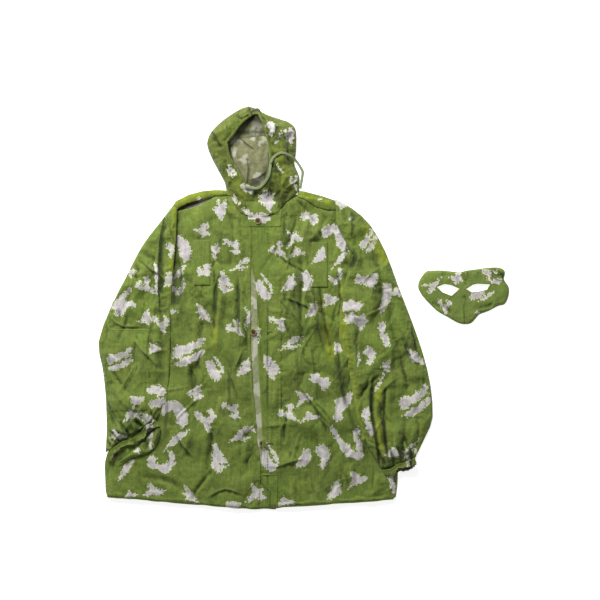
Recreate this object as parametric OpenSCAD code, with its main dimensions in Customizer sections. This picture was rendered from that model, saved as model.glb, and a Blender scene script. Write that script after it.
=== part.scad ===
// A one-piece hooded camouflage coverall laid flat on its back, its legs folded
// under at the crotch, with its cloth half face mask laid beside it.
// The origin is on the resting plane, on the line of the front opening.
// +X is towards the wearer's left, +Y towards the hood, +Z up out of the front.

/* [Suit] */
// Width across the two laid sleeves
suit_w = 1010; // [900:10:1150]
// Length from the crotch fold to the tip of the hood
suit_l = 1211; // [1100:10:1300]
// Width of the sewn strip that holds the buttons
underlap_w = 74; // [60:2:74]
// Length of each leg from the crotch fold to its ankle band
leg_l = 700; // [600:10:705]

/* [Layers] */
// Height that one flat layer of loose cloth takes up
ply = 2.5; // [2:0.25:2.5]
// Gap between one layer and the next
gap = 1; // [1:0.25:1.5]
// Gap between neighbouring pieces in one layer
seam_gap = 0.6; // [0.4:0.1:1]
// Height of the crumpled upper side of a sleeve
sleeve_loft = 8; // [5:1:10]
// Height of the puffed sides of the hood
hood_loft = 28; // [20:1:30]

/* [Hems] */
// Width of the cuff and ankle bands
band_w = 24; // [18:1:28]
// Thickness of the cloth in those bands
band_t = 1.2; // [1:0.1:1.2]
// Width of the hem channel round the face opening
channel_w = 11; // [8:1:12]
// Width of the drawcord tape
cord_w = 8; // [6:1:9]

/* [Buttons] */
// Diameter of a button
button_d = 19; // [17:0.5:20]
// Thickness of a button at its rim
button_t = 3; // [2.5:0.25:3]
// Distance from one button to the next down the front
button_pitch = 334; // [320:2:340]
// Distance between the thread holes across a button
thread_pitch = 4.4; // [3.6:0.2:5]

/* [Slits] */
// Length of the flap over each chest slit
slit_flap_l = 135; // [120:5:140]
// Width of the flap over each chest slit
slit_flap_w = 48; // [40:2:50]

/* [Mask] */
// Height of the mask's cloth where it lies loose
mask_loft = 5; // [3:0.5:6]

/* [Hidden] */
$fn = 48;

// Cloth colours
green = [0.40, 0.46, 0.22];
deep_green = [0.35, 0.40, 0.16];
khaki = [0.62, 0.63, 0.47];
tape = [0.56, 0.62, 0.42];
rubber_tape = [0.85, 0.85, 0.80];
horn = [0.55, 0.42, 0.28];

// The pattern pieces are drawn for the standard size and scaled to this suit
kx = suit_w / 1010;
ky = suit_l / 1211;

// Heights of the layers, from the floor up
step = ply + gap;
leg_front_z = 0;
leg_back_z = step;
back_z = 2 * step;
front_z = 3 * step;
over_z = 4 * step;
button_z = front_z + ply + 0.5;
neck_button_z = over_z + ply + 0.6;
fly_z = button_z + button_t + gap;
welt_z = front_z + ply + 0.2;
slit_flap_z = over_z + 0.3;
sleeve_back_z = over_z;
sleeve_back_t = ply + gap;
sleeve_front_z = sleeve_back_z + sleeve_back_t + gap;
patch_z = sleeve_front_z + sleeve_loft + gap;
patch_t = 1.5;
cuff_h = sleeve_back_t + gap + sleeve_loft;
hood_side_z = 2 * ply + gap;
hem_z = hood_side_z + hood_loft + gap;
hem_t = 5;
cord_z = hem_z + hem_t + gap;
cord_t = 2;
loop_t = 2;
mask_z = loop_t + gap;

// Lines that the pieces meet on
fly_hinge_x = 78;
underlap_x = -12;
neck_y = 343;
hood_base_y = 353;
fly_top_y = 245;
fly_end_y = -498;
mask_seam_x = 621;

// The buttons follow the edge of the opening down the front
neck_button_x = 9;
neck_button_y = 264;
middle_button_x = -5;
lower_button_x = 22;
buttonhole_x = 45;
buttonhole_w = 2;
buttonhole_l = button_d + 3;

// The fold line of the flap over each slit, at its lower end
slit_x_right = -183;
slit_x_left = 170;
slit_y_right = 72;
slit_y_left = 66;
slit_w = 8;
slit_end = 15;
welt_rim = 4;
welt_t = 0.6;

// Cutting shapes start this far below the floor and reach above every layer
cut_z = -1;
cut_h = 100;

// The legs turn under at the crotch
crotch_y = -602;

// ---- shapes ----

// One point of the smooth curve through four neighbouring points
function spline(a, b, c, d, t) =
    ((2 * b) + (c - a) * t + (2 * a - 5 * b + 4 * c - d) * t * t
        + (3 * b - a - 3 * c + d) * t * t * t) / 2;

// A closed smooth outline through the given points, with n steps to each
function smooth(points, n = 3) =
    [for (i = [0:len(points) - 1], k = [0:n - 1])
        let (m = len(points))
        spline(points[(i + m - 1) % m], points[i], points[(i + 1) % m],
            points[(i + 2) % m], k / n)];

// An open smooth path through the given points
function smooth_path(points, n = 4) =
    concat([for (i = [0:len(points) - 2], k = [0:n - 1])
        spline(points[max(i - 1, 0)], points[i], points[i + 1],
            points[min(i + 2, len(points) - 1)], k / n)],
        [points[len(points) - 1]]);

// Points moved away from a centre by a distance
function grow(points, centre, d) =
    [for (p = points) p + (p - centre) * d / norm(p - centre)];

// The direction of a path at one of its points, and the normal to its left
function along(path, i) =
    let (d = path[min(i + 1, len(path) - 1)] - path[max(i - 1, 0)])
    d / norm(d);
function left_of(v) = [-v[1], v[0]];

// A ribbon of width w laid along a path
function ribbon(path, w) =
    concat([for (i = [0:len(path) - 1]) path[i] + left_of(along(path, i)) * w / 2],
        [for (i = [len(path) - 1:-1:0]) path[i] - left_of(along(path, i)) * w / 2]);

// A flat piece of cloth of this outline, z0 above the floor and t thick
module sheet(points, z0, t) {
    translate([0, 0, z0])
        linear_extrude(t)
            polygon([for (p = points) [p[0] * kx, p[1] * ky]]);
}

// A band round a flattened tube of cloth, from point a to point b, w wide
module flat_ring(a, b, w, z0, h, t) {
    length = norm(b - a);
    translate([a[0] * kx, a[1] * ky, z0])
        rotate(atan2(b[1] - a[1], b[0] - a[0]))
            difference() {
                cube([length, w, h]);
                translate([t, -1, t]) cube([length - 2 * t, w + 2, h - 2 * t]);
            }
}

// The elastic that runs inside such a band
module inner_ring(a, b, w, z0, h, t) {
    side = (b - a) / norm(b - a);
    inset = t + 0.4;
    edge = 4;
    start = a + side * inset + left_of(side) * edge;
    end = b - side * inset + left_of(side) * edge;
    flat_ring(start, end, w - 2 * edge, z0 + inset, h - 2 * inset, 0.8);
}

// A slot cut through the cloth, long along X
module slot(x, y, length, width) {
    translate([x * kx - length / 2, y * ky - width / 2, cut_z]) cube([length, width, cut_h]);
}

// Everything on one side (-1 right, 1 left) of a seam along x, and half its gap
module half_space(x, side) {
    reach = suit_w;
    translate([side > 0 ? x - seam_gap / 2 : x + seam_gap / 2 - reach, -reach, cut_z])
        cube([reach, 2 * reach, cut_h]);
}

// ---- pattern pieces ----

body_side_right = [[-240, 322], [-275, 150], [-330, -100], [-390, -330], [-446, -500], [-444, -562]];
body_side_left = [[422, -570], [430, -480], [400, -330], [350, -100], [305, 150], [240, 328]];

// The whole back, from the shoulders to the crotch fold
back_outline = concat(
    [[-84, neck_y], [-150, 342]],
    smooth_path(body_side_right, 2),
    [[0, -599]],
    smooth_path(body_side_left, 2),
    [[150, 342], [138, neck_y]]);

// Where no leg lies underneath, the back reaches the floor
back_rest_outline = [[-232, 318], [-240, 160], [-54, 150], [-12, -585],
    [12, -585], [54, 150], [250, 160], [232, 322], [132, 340], [-84, 340]];

front_right_outline = concat(
    [[-84, neck_y], [-120, 338], [-165, 310]],
    smooth_path([[-238, 292], [-273, 150], [-328, -100], [-388, -330], [-444, -500], [-442, -560]], 2),
    [[underlap_x - seam_gap, -597], [underlap_x - seam_gap, neck_y]]);

front_left_start = underlap_x + underlap_w + seam_gap;
front_left_outline = concat(
    [[front_left_start, neck_y], [front_left_start, -593]],
    smooth_path([[420, -568], [428, -480], [398, -330], [348, -100], [303, 150], [238, 326]], 2),
    [[168, 340], [138, neck_y]]);

underlap_outline = [[underlap_x, -515], [underlap_x + underlap_w, -515],
    [underlap_x + underlap_w, neck_y - 3], [underlap_x, neck_y - 3]];

neck_overlap_outline = [[-33, 342], [-22, 285], [-18, fly_top_y + 2],
    [fly_hinge_x, fly_top_y + 2], [fly_hinge_x, 342]];

fly_outline = concat([[fly_hinge_x, fly_end_y], [fly_hinge_x, fly_top_y]],
    smooth_path([[-18, fly_top_y], [-15, 141], [4, 60], [8, -120], [18, -300], [22, -420], [15, fly_end_y]], 3));

gusset_outline = [[6, -513], [60, -540], [45, -592], [-45, -590], [-22, -550]];

hood_outline = concat([[132, hood_base_y], [-86, hood_base_y]],
    smooth_path([[-92, 385], [-128, 450], [-144, 500], [-125, 541], [-72, 585], [-18, 609],
        [33, 585], [90, 565], [121, 540], [123, 470], [118, 436], [133, 395]], 3));

opening_centre = [-16, 474];
opening_outline = smooth([[-24, 377], [-54, 423], [-78, 480], [-66, 520], [-40, 555], [-2, 580],
    [20, 562], [35, 510], [44, 447], [30, 385], [6, 366]], 3);

cord_path = smooth_path([[-27, 364], [6, 361], [27, 375], [42, 399], [48, 434]]);
loop_path = smooth_path([[52, 446], [81, 466], [117, 450], [141, 417], [142, 399], [138, 363]]);

// Each cuff lies across the end of its sleeve, from point a to point b
cuff_right_a = [-436, -452];
cuff_right_b = [-284, -352];
cuff_left_a = [386, -502];
cuff_left_b = [488, -472];

// The end of a sleeve runs along the inner edge of its cuff band
function cuff_edge(a, b, p) =
    let (side = (b - a) / norm(b - a))
    p + left_of(side) * (band_w + seam_gap);

sleeve_right_outline = concat(
    smooth_path([[-240, 318], [-291, 254], [-342, 186], [-387, 98], [-435, 3], [-471, -100],
        [-460, -170], [-449, -261], [-446, -370]], 2),
    [cuff_edge(cuff_right_a, cuff_right_b, cuff_right_a),
     cuff_edge(cuff_right_a, cuff_right_b, cuff_right_b)],
    smooth_path([[-263, -279], [-255, -162], [-250, 48], [-237, 204], [-233, 300]], 2));

sleeve_left_outline = concat(
    smooth_path([[294, 160], [268, 78], [255, 0], [252, -90], [281, -186], [294, -256],
        [306, -330], [335, -405]], 2),
    [cuff_edge(cuff_left_a, cuff_left_b, cuff_left_a),
     cuff_edge(cuff_left_a, cuff_left_b, cuff_left_b)],
    smooth_path([[518, -372], [534, -325], [527, -228], [504, -132], [471, -36], [429, 72],
        [393, 170], [346, 253], [292, 302], [240, 330]], 2),
    [[246, 250]]);

patch_right_outline = [[-440, -60], [-315, -60], [-322, -141], [-328, -228],
    [-320, -303], [-432, -306], [-440, -240], [-452, -140]];
patch_left_outline = [[438, -60], [462, -60], [492, -150], [512, -240], [515, -320], [436, -330]];

// The cloth of a leg turns at the fold before it runs up to the ankle
fold_turn = 14;
ankle_y = crotch_y + leg_l + fold_turn;
leg_right_outline = [[-20, -597], [-62, ankle_y], [-262, ankle_y], [-326, -150],
    [-400, -400], [-438, -562]];
leg_left_outline = [[20, -597], [66, ankle_y], [262, ankle_y], [315, -150],
    [375, -400], [412, -571]];

mask_outline = smooth([[513, 114], [490, 75], [516, 21], [560, -18], [602, -39], [629, -47],
    [666, -27], [744, 12], [765, 60], [750, 88], [746, 118], [714, 126], [638, 116],
    [617, 111], [560, 115]], 2);
eye_right = [580, 59];
eye_left = [671, 64];
eye_size = [66, 33];

// ---- body of the coverall ----

module back_panel() color(khaki) union() {
    sheet(back_outline, back_z, ply);
    sheet(back_rest_outline, 0, back_z + ply / 2);
}

// A front panel with the opening of its chest slit cut through it
module front_panel(outline, slit_x, slit_y) {
    difference() {
        sheet(outline, front_z, ply);
        slot(slit_x + slit_flap_w / 2, slit_y + slit_flap_l / 2, slit_w, slit_flap_l - 2 * slit_end);
    }
}

module front_panel_right() color(green) front_panel(front_right_outline, slit_x_right, slit_y_right);

module front_panel_left() color(green) front_panel(front_left_outline, slit_x_left, slit_y_left);

module button_underlap() color(khaki) sheet(underlap_outline, front_z, ply);

// The thread of the neck button passes through this buttonhole
module neck_overlap() color(green) difference() {
    sheet(neck_overlap_outline, over_z, ply);
    slot(neck_button_x, neck_button_y, buttonhole_l, buttonhole_w);
}

module crotch_gusset() color(green) sheet(gusset_outline, over_z, ply);

// The stitched frame round a chest slit, under its flap
module slit_welt(x, y) {
    translate([x * kx, y * ky, welt_z])
        difference() {
            cube([slit_flap_w, slit_flap_l, welt_t]);
            translate([welt_rim, welt_rim, -welt_t])
                cube([slit_flap_w - 2 * welt_rim, slit_flap_l - 2 * welt_rim, 3 * welt_t]);
        }
}

module slit_welt_right() color(deep_green) slit_welt(slit_x_right, slit_y_right);

module slit_welt_left() color(deep_green) slit_welt(slit_x_left, slit_y_left);

module slit_flap(x, y) {
    translate([x * kx, y * ky, slit_flap_z]) cube([slit_flap_w, slit_flap_l, ply]);
}

module slit_flap_right() color(green) slit_flap(slit_x_right, slit_y_right);

module slit_flap_left() color(green) slit_flap(slit_x_left, slit_y_left);

// ---- front closure ----

// A four-hole button with a raised rim round a sunk middle
module button(x, y, z0) {
    rim = 2.4;
    hole_r = 1.1;
    translate([x * kx, y * ky, z0])
        difference() {
            cylinder(d = button_d, h = button_t);
            translate([0, 0, button_t * 0.6]) cylinder(d = button_d - 2 * rim, h = button_t);
            for (i = [-1, 1], j = [-1, 1])
                translate([i * thread_pitch / 2, j * thread_pitch / 2, -1])
                    cylinder(r = hole_r, h = button_t + 2);
        }
}

module neck_button() color(horn) button(neck_button_x, neck_button_y, neck_button_z);

module middle_button() color(horn) button(middle_button_x, neck_button_y - button_pitch, button_z);

module lower_button() color(horn) button(lower_button_x, neck_button_y - 2 * button_pitch, button_z);

// The overlap of the front opening, with a buttonhole for each button under it
module fly_overlap() color(green) difference() {
    sheet(fly_outline, fly_z, ply);
    for (k = [1, 2]) slot(buttonhole_x, neck_button_y - k * button_pitch, buttonhole_l, buttonhole_w);
}

// ---- hood ----

module hood_centre_panel() color(khaki) sheet(hood_outline, 0, 2 * ply);

// One side of the hood, cut back from the face opening
module hood_side(side) {
    difference() {
        sheet(hood_outline, hood_side_z, hood_loft);
        sheet(opening_outline, cut_z, cut_h);
        half_space(0, -side);
    }
}

module hood_right_panel() color(deep_green) hood_side(-1);

module hood_left_panel() color(deep_green) hood_side(1);

module hood_hem_channel() color(deep_green) difference() {
    sheet(grow(opening_outline, opening_centre, channel_w), hem_z, hem_t);
    sheet(opening_outline, cut_z, cut_h);
}

module drawcord() color(tape) sheet(ribbon(cord_path, cord_w), cord_z, cord_t);

module drawcord_loop() color(tape) sheet(ribbon(loop_path, cord_w), cord_z, cord_t);

// ---- sleeves ----

module sleeve_right_front() color(green) sheet(sleeve_right_outline, sleeve_front_z, sleeve_loft);

module sleeve_right_back() color(green) sheet(sleeve_right_outline, sleeve_back_z, sleeve_back_t);

module elbow_patch_right() color(green) sheet(patch_right_outline, patch_z, patch_t);

module cuff_band_right() color(deep_green)
    flat_ring(cuff_right_a, cuff_right_b, band_w, sleeve_back_z, cuff_h, band_t);

module cuff_elastic_right() color(rubber_tape)
    inner_ring(cuff_right_a, cuff_right_b, band_w, sleeve_back_z, cuff_h, band_t);

module sleeve_left_front() color(green) sheet(sleeve_left_outline, sleeve_front_z, sleeve_loft);

module sleeve_left_back() color(green) sheet(sleeve_left_outline, sleeve_back_z, sleeve_back_t);

// This patch is on the far side of the sleeve, beyond the edge of the body
module elbow_patch_left() color(green)
    sheet(patch_left_outline, sleeve_back_z - gap - patch_t, patch_t);

module cuff_band_left() color(deep_green)
    flat_ring(cuff_left_a, cuff_left_b, band_w, sleeve_back_z, cuff_h, band_t);

module cuff_elastic_left() color(rubber_tape)
    inner_ring(cuff_left_a, cuff_left_b, band_w, sleeve_back_z, cuff_h, band_t);

// ---- legs, folded under the body ----

leg_h = leg_back_z + ply;

module leg_right_front() color(green) sheet(leg_right_outline, leg_front_z, ply);

module leg_right_back() color(green) sheet(leg_right_outline, leg_back_z, ply);

module ankle_band_right() color(deep_green)
    flat_ring([-258, ankle_y + seam_gap], [-66, ankle_y + seam_gap], band_w, 0, leg_h, band_t);

module ankle_elastic_right() color(rubber_tape)
    inner_ring([-258, ankle_y + seam_gap], [-66, ankle_y + seam_gap], band_w, 0, leg_h, band_t);

module leg_left_front() color(green) sheet(leg_left_outline, leg_front_z, ply);

module leg_left_back() color(green) sheet(leg_left_outline, leg_back_z, ply);

module ankle_band_left() color(deep_green)
    flat_ring([70, ankle_y + seam_gap], [258, ankle_y + seam_gap], band_w, 0, leg_h, band_t);

module ankle_elastic_left() color(rubber_tape)
    inner_ring([70, ankle_y + seam_gap], [258, ankle_y + seam_gap], band_w, 0, leg_h, band_t);

// ---- face mask ----

// The pointed oval hole for one eye
module eye_hole(centre) {
    n = 8;
    points = [for (i = [0:2 * n - 1])
        let (t = i * 180 / n)
        centre + [cos(t) * eye_size[0] / 2, sin(t) * (1 - 0.25 * pow(cos(t), 2)) * eye_size[1] / 2]];
    sheet(points, cut_z, cut_h);
}

module mask_half(side, eye) {
    difference() {
        sheet(mask_outline, mask_z, mask_loft);
        eye_hole(eye);
        half_space(mask_seam_x * kx, -side);
    }
}

module mask_panel_right() color(green) mask_half(-1, eye_right);

module mask_panel_left() color(green) mask_half(1, eye_left);

// A loop of elastic cord behind one end of the mask
module mask_loop(points) {
    sheet(ribbon(smooth_path(points), 5), 0, loop_t);
}

module mask_loop_right() color(rubber_tape)
    mask_loop([[508, 95], [496, 70], [500, 50], [530, 46], [540, 86]]);

module mask_loop_left() color(rubber_tape)
    mask_loop([[738, 100], [752, 66], [738, 34], [708, 30], [706, 50]]);

back_panel();
front_panel_right();
front_panel_left();
button_underlap();
neck_overlap();
crotch_gusset();
slit_welt_right();
slit_welt_left();
neck_button();
middle_button();
lower_button();
fly_overlap();
slit_flap_right();
slit_flap_left();
hood_centre_panel();
hood_right_panel();
hood_left_panel();
hood_hem_channel();
drawcord();
drawcord_loop();
sleeve_right_front();
sleeve_right_back();
elbow_patch_right();
cuff_band_right();
cuff_elastic_right();
sleeve_left_front();
sleeve_left_back();
elbow_patch_left();
cuff_band_left();
cuff_elastic_left();
leg_right_front();
leg_right_back();
ankle_band_right();
ankle_elastic_right();
leg_left_front();
leg_left_back();
ankle_band_left();
ankle_elastic_left();
mask_panel_right();
mask_panel_left();
mask_loop_right();
mask_loop_left();
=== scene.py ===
"""Looks of a hooded camouflage coverall, laid flat, and of its half face mask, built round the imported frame.

Every cloth piece is a flat sheet, cut to the outline of its CAD node or to one a little fuller, and lifted
into folds. The two fronts, the two sleeve tops, the hood and the mask also grow a little in Blender's cloth
simulation, so that they buckle. The print comes from one family of leaf motifs. Lengths in the tables are
millimetres; the meshes are in metres.
"""

import math

import bpy
import numpy as np
from mathutils.bvhtree import BVHTree
from mathutils.geometry import delaunay_2d_cdt
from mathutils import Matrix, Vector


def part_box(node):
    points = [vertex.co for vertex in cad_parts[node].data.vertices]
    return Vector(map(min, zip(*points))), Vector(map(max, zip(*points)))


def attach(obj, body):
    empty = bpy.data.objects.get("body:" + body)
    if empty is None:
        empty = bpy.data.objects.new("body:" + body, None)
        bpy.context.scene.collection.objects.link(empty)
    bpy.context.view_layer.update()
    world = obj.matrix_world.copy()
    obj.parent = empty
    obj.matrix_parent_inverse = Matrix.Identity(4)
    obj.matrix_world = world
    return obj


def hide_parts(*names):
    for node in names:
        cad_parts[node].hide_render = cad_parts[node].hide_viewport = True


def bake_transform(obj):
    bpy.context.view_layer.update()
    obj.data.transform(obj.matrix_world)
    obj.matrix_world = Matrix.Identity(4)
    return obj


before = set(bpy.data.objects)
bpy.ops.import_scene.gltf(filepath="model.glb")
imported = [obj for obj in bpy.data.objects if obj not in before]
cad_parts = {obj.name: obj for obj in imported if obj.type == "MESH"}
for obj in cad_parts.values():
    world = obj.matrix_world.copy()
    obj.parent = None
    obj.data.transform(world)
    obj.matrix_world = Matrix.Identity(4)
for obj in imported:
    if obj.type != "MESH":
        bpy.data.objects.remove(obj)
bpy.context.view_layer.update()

MM = 0.001
CUT = 0.006  # spacing of a sheet's points when it is simulated; it is halved afterwards
GROWTH_FRAMES = 16
CLOTH_T = 0.0006
rng = np.random.default_rng(7)


# ---------------------------------------------------------------- curves, noise and small maths


def spline(points, closed=False, steps=6):
    """A smooth curve through the points, as an array."""
    p = np.array(points, float)
    n = len(p)
    out = []
    for i in range(n if closed else n - 1):
        if closed:
            a, b, c, d = p[(i - 1) % n], p[i], p[(i + 1) % n], p[(i + 2) % n]
        else:
            a, b, c, d = p[max(i - 1, 0)], p[i], p[i + 1], p[min(i + 2, n - 1)]
        for t in np.arange(steps) / steps:
            square = (2 * a - 5 * b + 4 * c - d) * t**2
            cube = (3 * b - a - 3 * c + d) * t**3
            out.append((2 * b + (c - a) * t + square + cube) / 2)
    if not closed:
        out.append(p[-1])
    return np.array(out)


def resample(path, spacing, closed=False):
    """The same path with points this far apart."""
    p = np.array(path, float)
    if closed:
        p = np.vstack([p, p[:1]])
    along = np.concatenate([[0], np.cumsum(np.linalg.norm(np.diff(p, axis=0), axis=1))])
    count = max(int(round(along[-1] / spacing)), 2)
    at = np.linspace(0, along[-1], count + 1)
    out = np.stack([np.interp(at, along, p[:, k]) for k in range(p.shape[1])], axis=1)
    return out[:-1] if closed else out


def to_path(xy, path):
    """Each point's distance to the path, its side (+1 left), and how far along the path it is, 0 to 1."""
    p = np.array(path, float)
    best = np.full(len(xy), 1e9)
    side = np.ones(len(xy))
    share = np.zeros(len(xy))
    lengths = np.linalg.norm(np.diff(p, axis=0), axis=1)
    total = lengths.sum()
    done = 0.0
    for a, b, length in zip(p[:-1], p[1:], lengths):
        ab = b - a
        t = np.clip(((xy - a) @ ab) / max(length**2, 1e-12), 0, 1)
        off = xy - (a + t[:, None] * ab)
        d = np.hypot(off[:, 0], off[:, 1])
        near = d < best
        best[near] = d[near]
        side[near] = np.where(ab[0] * off[near, 1] - ab[1] * off[near, 0] >= 0, 1.0, -1.0)
        share[near] = (done + t[near] * length) / total
        done += length
    return best, side, share


def inside(xy, loop):
    """True for the points inside a closed loop."""
    x, y = xy[:, 0], xy[:, 1]
    hit = np.zeros(len(xy), bool)
    q = np.array(loop)
    for (x0, y0), (x1, y1) in zip(q, np.roll(q, -1, axis=0)):
        if y0 == y1:
            continue
        crosses = ((y0 > y) != (y1 > y)) & (x < (x1 - x0) * (y - y0) / (y1 - y0) + x0)
        hit ^= crosses
    return hit


def signed_to_loop(xy, loop):
    """Distance to a closed loop, above zero inside it."""
    d = to_path(xy, np.vstack([loop, loop[:1]]))[0]
    return np.where(inside(xy, loop), d, -d)


def smoothstep(lo, hi, v):
    t = np.clip((v - lo) / (hi - lo), 0, 1)
    return t * t * (3 - 2 * t)


LATTICE = rng.random((128, 128)) * 2 - 1


def noise(xy, size, shift=0.0):
    """Smooth noise between -1 and 1 whose features are about this size."""
    p = np.asarray(xy) / size + shift + 40.0
    i = np.floor(p).astype(int)
    f = p - i
    f = f * f * f * (f * (f * 6 - 15) + 10)
    x0, y0 = i[:, 0] % 128, i[:, 1] % 128
    x1, y1 = (x0 + 1) % 128, (y0 + 1) % 128
    low = LATTICE[x0, y0] * (1 - f[:, 0]) + LATTICE[x1, y0] * f[:, 0]
    high = LATTICE[x0, y1] * (1 - f[:, 0]) + LATTICE[x1, y1] * f[:, 0]
    return low * (1 - f[:, 1]) + high * f[:, 1]


CENTRES = rng.random((128, 128, 2))


def tents(xy, size, shift, stretch, soft=9.0):
    """Tents about this size that meet in nearly straight ridges: 0 in their hollows, about 0.7 on a ridge."""
    p = np.asarray(xy) / (np.array(stretch) * size) + 30.0 + shift
    bend = np.stack([noise(p, 1.6, 3), noise(p, 1.6, 9)], axis=1)
    p = p + 0.22 * bend
    cell = np.floor(p).astype(int)
    total = np.zeros(len(p))
    for i in (-1, 0, 1):
        for j in (-1, 0, 1):
            near = cell + (i, j)
            centre = near + CENTRES[near[:, 0] % 128, near[:, 1] % 128]
            total += np.exp(-soft * np.hypot(*(p - centre).T))
    return np.clip(-np.log(total + 1e-12) / soft, 0, 1)


def crumple(xy, size, shift=0.0, stretch=(1.0, 1.0)):
    """The facets of cloth that was folded small, 0 to 1: some creases stand up and others lie in."""
    up = tents(xy, size * 1.5, shift, stretch)
    down = tents(xy, size * 1.1, shift + 17, stretch)
    return 0.5 + 0.9 * up - 0.7 * down


# ---------------------------------------------------------------- outlines from the frame


def cad_loops(node):
    """The loops that bound a flat CAD node's upper face, the longest first."""
    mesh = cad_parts[node].data
    co = np.array([v.co for v in mesh.vertices])
    top = co[:, 2].max()
    key = [tuple(np.round(c[:2] * 1e5).astype(int)) for c in co]
    place = {k: c[:2] for k, c in zip(key, co)}
    edges = {}
    for face in mesh.polygons:
        if all(abs(co[i, 2] - top) < 1e-5 for i in face.vertices):
            ring = [key[i] for i in face.vertices]
            for a, b in zip(ring, ring[1:] + ring[:1]):
                if (b, a) in edges:
                    del edges[(b, a)]
                else:
                    edges[(a, b)] = True
    following = {}
    for a, b in edges:
        following.setdefault(a, []).append(b)
    loops = []
    while following:
        start = next(iter(following))
        ring, at = [start], start
        while following.get(at):
            nxt = following[at].pop()
            if not following[at]:
                del following[at]
            if nxt == start:
                break
            ring.append(nxt)
            at = nxt
        if len(ring) > 2:
            loops.append(np.array([place[k] for k in ring]))

    def length(loop):
        return np.linalg.norm(loop - np.roll(loop, 1, axis=0), axis=1).sum()

    return sorted(loops, key=length, reverse=True)


def mm(points):
    return np.array(points, float) * MM


# ---------------------------------------------------------------- sheets of cloth


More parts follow.
